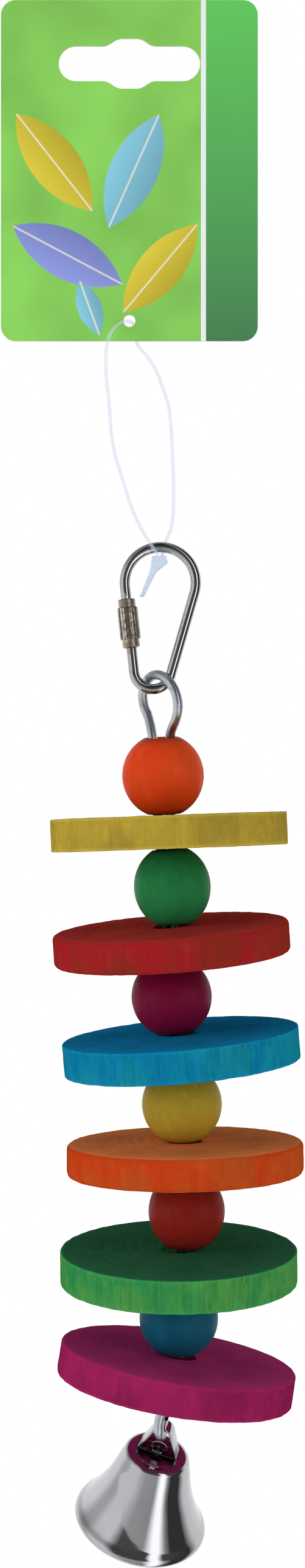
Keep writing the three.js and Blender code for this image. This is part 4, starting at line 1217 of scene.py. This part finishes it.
class BIRDTOY_OT_bell(bpy.types.Operator):
    """Press the bell, and bend and rivet the strip that it hangs by"""

    bl_idname = "birdtoy.bell"
    bl_label = "Bell"

    CROWN = -5.15 * MM
    SHANK_HOLE = 1.45 * MM
    PROFILE_MM = [(4.6, 0), (6.0, 0), (7.2, -0.57), (7.7, -1.7), (9.85, -9.0), (11.1, -12.05),
                  (12.47, -14.88), (13.88, -17.3), (15.3, -19.5), (15.0, -20.23), (14.6, -20.6)]
    SHELL_STEPS = 96
    STRIP_WIDTH = 3.6 * MM
    STRIP = 0.5 * MM
    STRIP_TURN = math.radians(-4)
    # One half of its bent line, from the tab over the wire to the middle of the foot
    STRIP_MM = [(0.25, 5.0), (0.25, 2.45), (1.2, 2.06), (2.05, 1.15), (2.4, 0.2), (4.3, -4.2), (4.1, -4.62),
                (3.6, -4.65)]
    RIVET_TOP = -4.15 * MM
    RIVET_HEAD = 2.0 * MM
    RIVET_SHANK = 1.2 * MM
    RIVET_EYE = -7.9 * MM
    RIVET_EYE_MIDDLE = 1.5 * MM
    RIVET_EYE_WIRE = 0.4 * MM
    RIVET_EYE_STEPS = 36
    RIVET_EYE_SIDES = 12
    RIVET_STEPS = 32
    # The head's dome: shares of its radius, and heights
    RIVET_DOME = [(1, 0), (0.96, 0.3 * MM), (0.7, 0.62 * MM), (0, 0.8 * MM)]

    # The plate's polishing lines and clouds, each with the detail and roughness of its noise, the values
    # between which the clouds turn, and how rough the plate is there
    POLISH = 0.35 * MM
    POLISH_NOISE = (3, 0.7)
    CLOUD = 6 * MM
    CLOUD_NOISE = (4, 0.6)
    CLOUD_TURNS = (0.3, 0.7)
    ROUGHNESS = (0.04, 0.1)
    # Upright scratches: their width and how far they are drawn out, where they lie and how deep
    SCRATCH = 0.22 * MM
    SCRATCH_STRETCH = (1, 1, 0.06)
    SCRATCH_DROP = 14 * MM
    SCRATCH_REACH = (4 * MM, 1 * MM)
    SCRATCH_DEPTH = 4
    BUMP_STRENGTH = 0.03
    BUMP_HEIGHT = 0.04 * MM
    # The dark well in the crown, a painted reflection of the dark disc above: its colour and share, its rim,
    #     # its floor about the crown, and its depth about the rivet's top
    WELL_REFLECTION_COLOUR = "#3E3436"
    WELL_REFLECTION_SHARE = 0.85
    WELL_RIM = (5.2 * MM, 4.4 * MM)
    WELL_FLOOR = (-0.3 * MM, 0.1 * MM)
    WELL_DEPTH = (2.6 * MM, 0.9 * MM)

    def execute(self, context):
        placed = bell_frame()
        plate = self.bright_plate(context.scene.birdtoy_colours.bell, placed)
        wall = context.scene.birdtoy_sizes.bell_wall
        for piece, name, node in (
            (self.shell(wall), "bell_cup", "bell_shell"),
            (self.strip(), "bell_strip", "bell_bracket"),
            (self.rivet(), "bell_rivet", "crown_rivet"),
        ):
            deselect()
            piece.select_set(True)
            bpy.context.view_layer.objects.active = piece
            place(piece, placed)
            finish_piece(piece, name, plate, "plated_bell", "bell", node)
        return {"FINISHED"}

    def shell(self, wall):
        """The cup: its outside profile spun round, then given its wall and a rounded lip."""
        profile = [(self.SHANK_HOLE, self.CROWN)]
        profile += [(radius * MM, self.CROWN + height * MM) for radius, height in self.PROFILE_MM]
        piece = spin_profile(profile, self.SHELL_STEPS, smooth=True)
        apply_modifier(piece, "SOLIDIFY", thickness=wall, offset=-1)
        ease_edges(piece, wall / 3, steps=2, sharper_than=50)
        return piece

    def strip(self):
        """The strip: a ribbon along its bent line, given its thickness, with its edges eased."""
        right = [(x * MM, z * MM, 0) for x, z in self.STRIP_MM]
        left = [(-x, z, 0) for x, z, _ in right]
        line = drawn_curve([*left, *reversed(right)], smooth=False)
        line.data.dimensions = "2D"
        line.data.resolution_u = 1
        line.data.extrude = self.STRIP_WIDTH / 2
        piece = as_mesh()
        place(piece, Matrix.Rotation(self.STRIP_TURN, 4, "Z") @ UPRIGHT)
        apply_modifier(piece, "SOLIDIFY", thickness=self.STRIP, offset=0, use_even_offset=True)
        ease_edges(piece, self.STRIP / 5, steps=2, sharper_than=60)
        return piece

    def rivet(self):
        """The rivet through strip and crown, with the eye inside the bell that the clapper hangs in."""
        top = self.RIVET_TOP
        foot = self.RIVET_EYE + self.RIVET_EYE_MIDDLE - self.RIVET_EYE_WIRE / 2
        profile = [(0, foot), (self.RIVET_SHANK, foot), (self.RIVET_SHANK, top)]
        profile += [(self.RIVET_HEAD * share, top + height) for share, height in self.RIVET_DOME]
        pin = spin_profile(profile, self.RIVET_STEPS)
        deselect()
        bpy.ops.mesh.primitive_torus_add(
            location=(0, 0, self.RIVET_EYE), rotation=(0, math.pi / 2, 0),
            major_segments=self.RIVET_EYE_STEPS, minor_segments=self.RIVET_EYE_SIDES,
            major_radius=self.RIVET_EYE_MIDDLE, minor_radius=self.RIVET_EYE_WIRE)
        pin.select_set(True)
        bpy.context.view_layer.objects.active = pin
        bpy.ops.object.join()
        return pin

    def bright_plate(self, colour, placed):
        """Bright nickel on pressed steel: polishing lines round the bell, a painted dark reflection down in
        the crown.
        """
        material, add = new_material("Bright plated steel")
        local = local_coords(add, placed)
        out = radius_of(add, local)
        height = add("z", local)
        line = add("noise", add("xyz", out, 0, height), 1 / self.POLISH, *self.POLISH_NOISE)
        cloud = add("noise", local, 1 / self.CLOUD, *self.CLOUD_NOISE)
        floor, depth = [[start + z for z in span] for start, span in (
            (self.CROWN, self.WELL_FLOOR), (self.RIVET_TOP, self.WELL_DEPTH))]
        in_well = add("times", add("ease", out, *self.WELL_RIM), add("ease", height, *floor))
        # Painted reflection: the crown's well is painted dark, as a reflection of the dark disc above
        dull = add("times", add("times", in_well, add("ease", height, *depth)), self.WELL_REFLECTION_SHARE)
        tone = add("mix", cloud, shade(colour, 0.85), shade(colour, 1.05))
        tone = add("mix", dull, tone, shade(self.WELL_REFLECTION_COLOUR))
        scratch = add("noise", add("scaled", local, self.SCRATCH_STRETCH), 1 / self.SCRATCH)
        at_waist = add("ease", add("size", add("plus", height, self.SCRATCH_DROP)), *self.SCRATCH_REACH)
        marks = add("times", add("times", scratch, at_waist), self.SCRATCH_DEPTH)
        bump = add("bump", self.BUMP_STRENGTH, self.BUMP_HEIGHT, add("plus", line, marks))
        rough = add("ease", cloud, *self.CLOUD_TURNS, *self.ROUGHNESS)
        add("output", add("metal", tone, rough, 1, bump))
        return material


class BIRDTOY_OT_clapper(bpy.types.Operator):
    """Bend the clapper's wire and turn the ball on its end"""

    bl_idname = "birdtoy.clapper"
    bl_label = "Clapper"

    PIVOT = -8.25 * MM
    RING = 1.6 * MM
    RING_OPEN = math.radians(50)
    RING_STEPS = 10
    NECK = 2.4 * MM
    DROP = 13 * MM
    BALL = 3.2 * MM
    BALL_STEPS = 16
    BALL_SIDES = 40
    BORE_CLEAR = 0.1 * MM
    BORE_FLAT = 0.2 * MM
    PEENED = 0.25 * MM

    def execute(self, context):
        size = context.scene.birdtoy_sizes.clapper_wire
        hung = bell_frame() @ Matrix.Translation((0, 0, self.PIVOT)) @ Matrix.Rotation(-BELL_NOD, 4, "X")
        zinc = plated_steel(
            "Zinc-plated steel", context.scene.birdtoy_colours.zinc, "#4E5258", roughness=0.25,
            stain_share=0.5, placed=hung)
        bent_rod(self.line(size), size / 2, steps=6, round_steps=4)
        wire = as_mesh()
        place(wire, hung)
        finish_piece(wire, "clapper_link", zinc, "galvanised_wire", "clapper", "clapper_wire")
        ball = self.ball(size)
        place(ball, hung)
        finish_piece(ball, "clapper_bob", zinc, "galvanised_wire", "clapper", "clapper_ball")
        return {"FINISHED"}

    def line(self, size):
        """A ring in the rivet's eye, closed on itself, and the straight stem below it."""
        angles = steps_between(self.RING_OPEN - math.pi / 2, 1.5 * math.pi, self.RING_STEPS)
        ring = [(self.RING * math.cos(angle), 0, self.RING * (math.sin(angle) - 1)) for angle in angles]
        foot = -2 * self.RING
        return [*ring, (size / 3, 0, foot - size), (0, 0, foot - self.NECK), (0, 0, -self.DROP)]

    def ball(self, size):
        """A turned ball, bored for the wire that is peened over below it."""
        bore = size / 2 + self.BORE_CLEAR
        middle = -self.DROP + self.BALL - self.PEENED
        pole = math.acos((bore + self.BORE_FLAT) / self.BALL)
        outside = [(self.BALL * math.cos(angle), middle + self.BALL * math.sin(angle))
                   for angle in steps_between(-pole, pole, self.BALL_STEPS)]
        low, high = (bore, outside[0][1]), (bore, outside[-1][1])
        return spin_profile([low, *outside, high, low], self.BALL_SIDES)


class BIRDTOY_PT_pieces(bpy.types.Panel):
    """The toy's pieces, sizes and colours"""

    bl_label = "Bird toy"
    bl_idname = "BIRDTOY_PT_pieces"
    bl_space_type = "VIEW_3D"
    bl_region_type = "UI"
    bl_category = "Bird toy"

    def draw(self, context):
        for group in (context.scene.birdtoy_sizes, context.scene.birdtoy_colours):
            for name in group.__annotations__:
                self.layout.prop(group, name)
        for kind in CLASSES:
            if issubclass(kind, bpy.types.Operator):
                self.layout.operator(kind.bl_idname)


CLASSES = (
    BirdToySizes,
    BirdToyColours,
    BIRDTOY_OT_stage,
    BIRDTOY_OT_nylon_loop,
    BIRDTOY_OT_header_card,
    BIRDTOY_OT_quick_link,
    BIRDTOY_OT_wire_hanger,
    BIRDTOY_OT_wooden_balls,
    BIRDTOY_OT_wooden_discs,
    BIRDTOY_OT_bell,
    BIRDTOY_OT_clapper,
    BIRDTOY_PT_pieces,
)


def register():
    for kind in CLASSES:
        bpy.utils.register_class(kind)
    bpy.types.Scene.birdtoy_sizes = PointerProperty(type=BirdToySizes)
    bpy.types.Scene.birdtoy_colours = PointerProperty(type=BirdToyColours)


def unregister():
    del bpy.types.Scene.birdtoy_colours
    del bpy.types.Scene.birdtoy_sizes
    for kind in reversed(CLASSES):
        bpy.utils.unregister_class(kind)


def main():
    register()
    bpy.ops.birdtoy.stage()
    bpy.ops.birdtoy.nylon_loop()
    bpy.ops.birdtoy.header_card()
    bpy.ops.birdtoy.quick_link()
    bpy.ops.birdtoy.wire_hanger()
    bpy.ops.birdtoy.wooden_balls()
    bpy.ops.birdtoy.wooden_discs()
    bpy.ops.birdtoy.bell()
    bpy.ops.birdtoy.clapper()


if __name__ == "__main__":
    main()
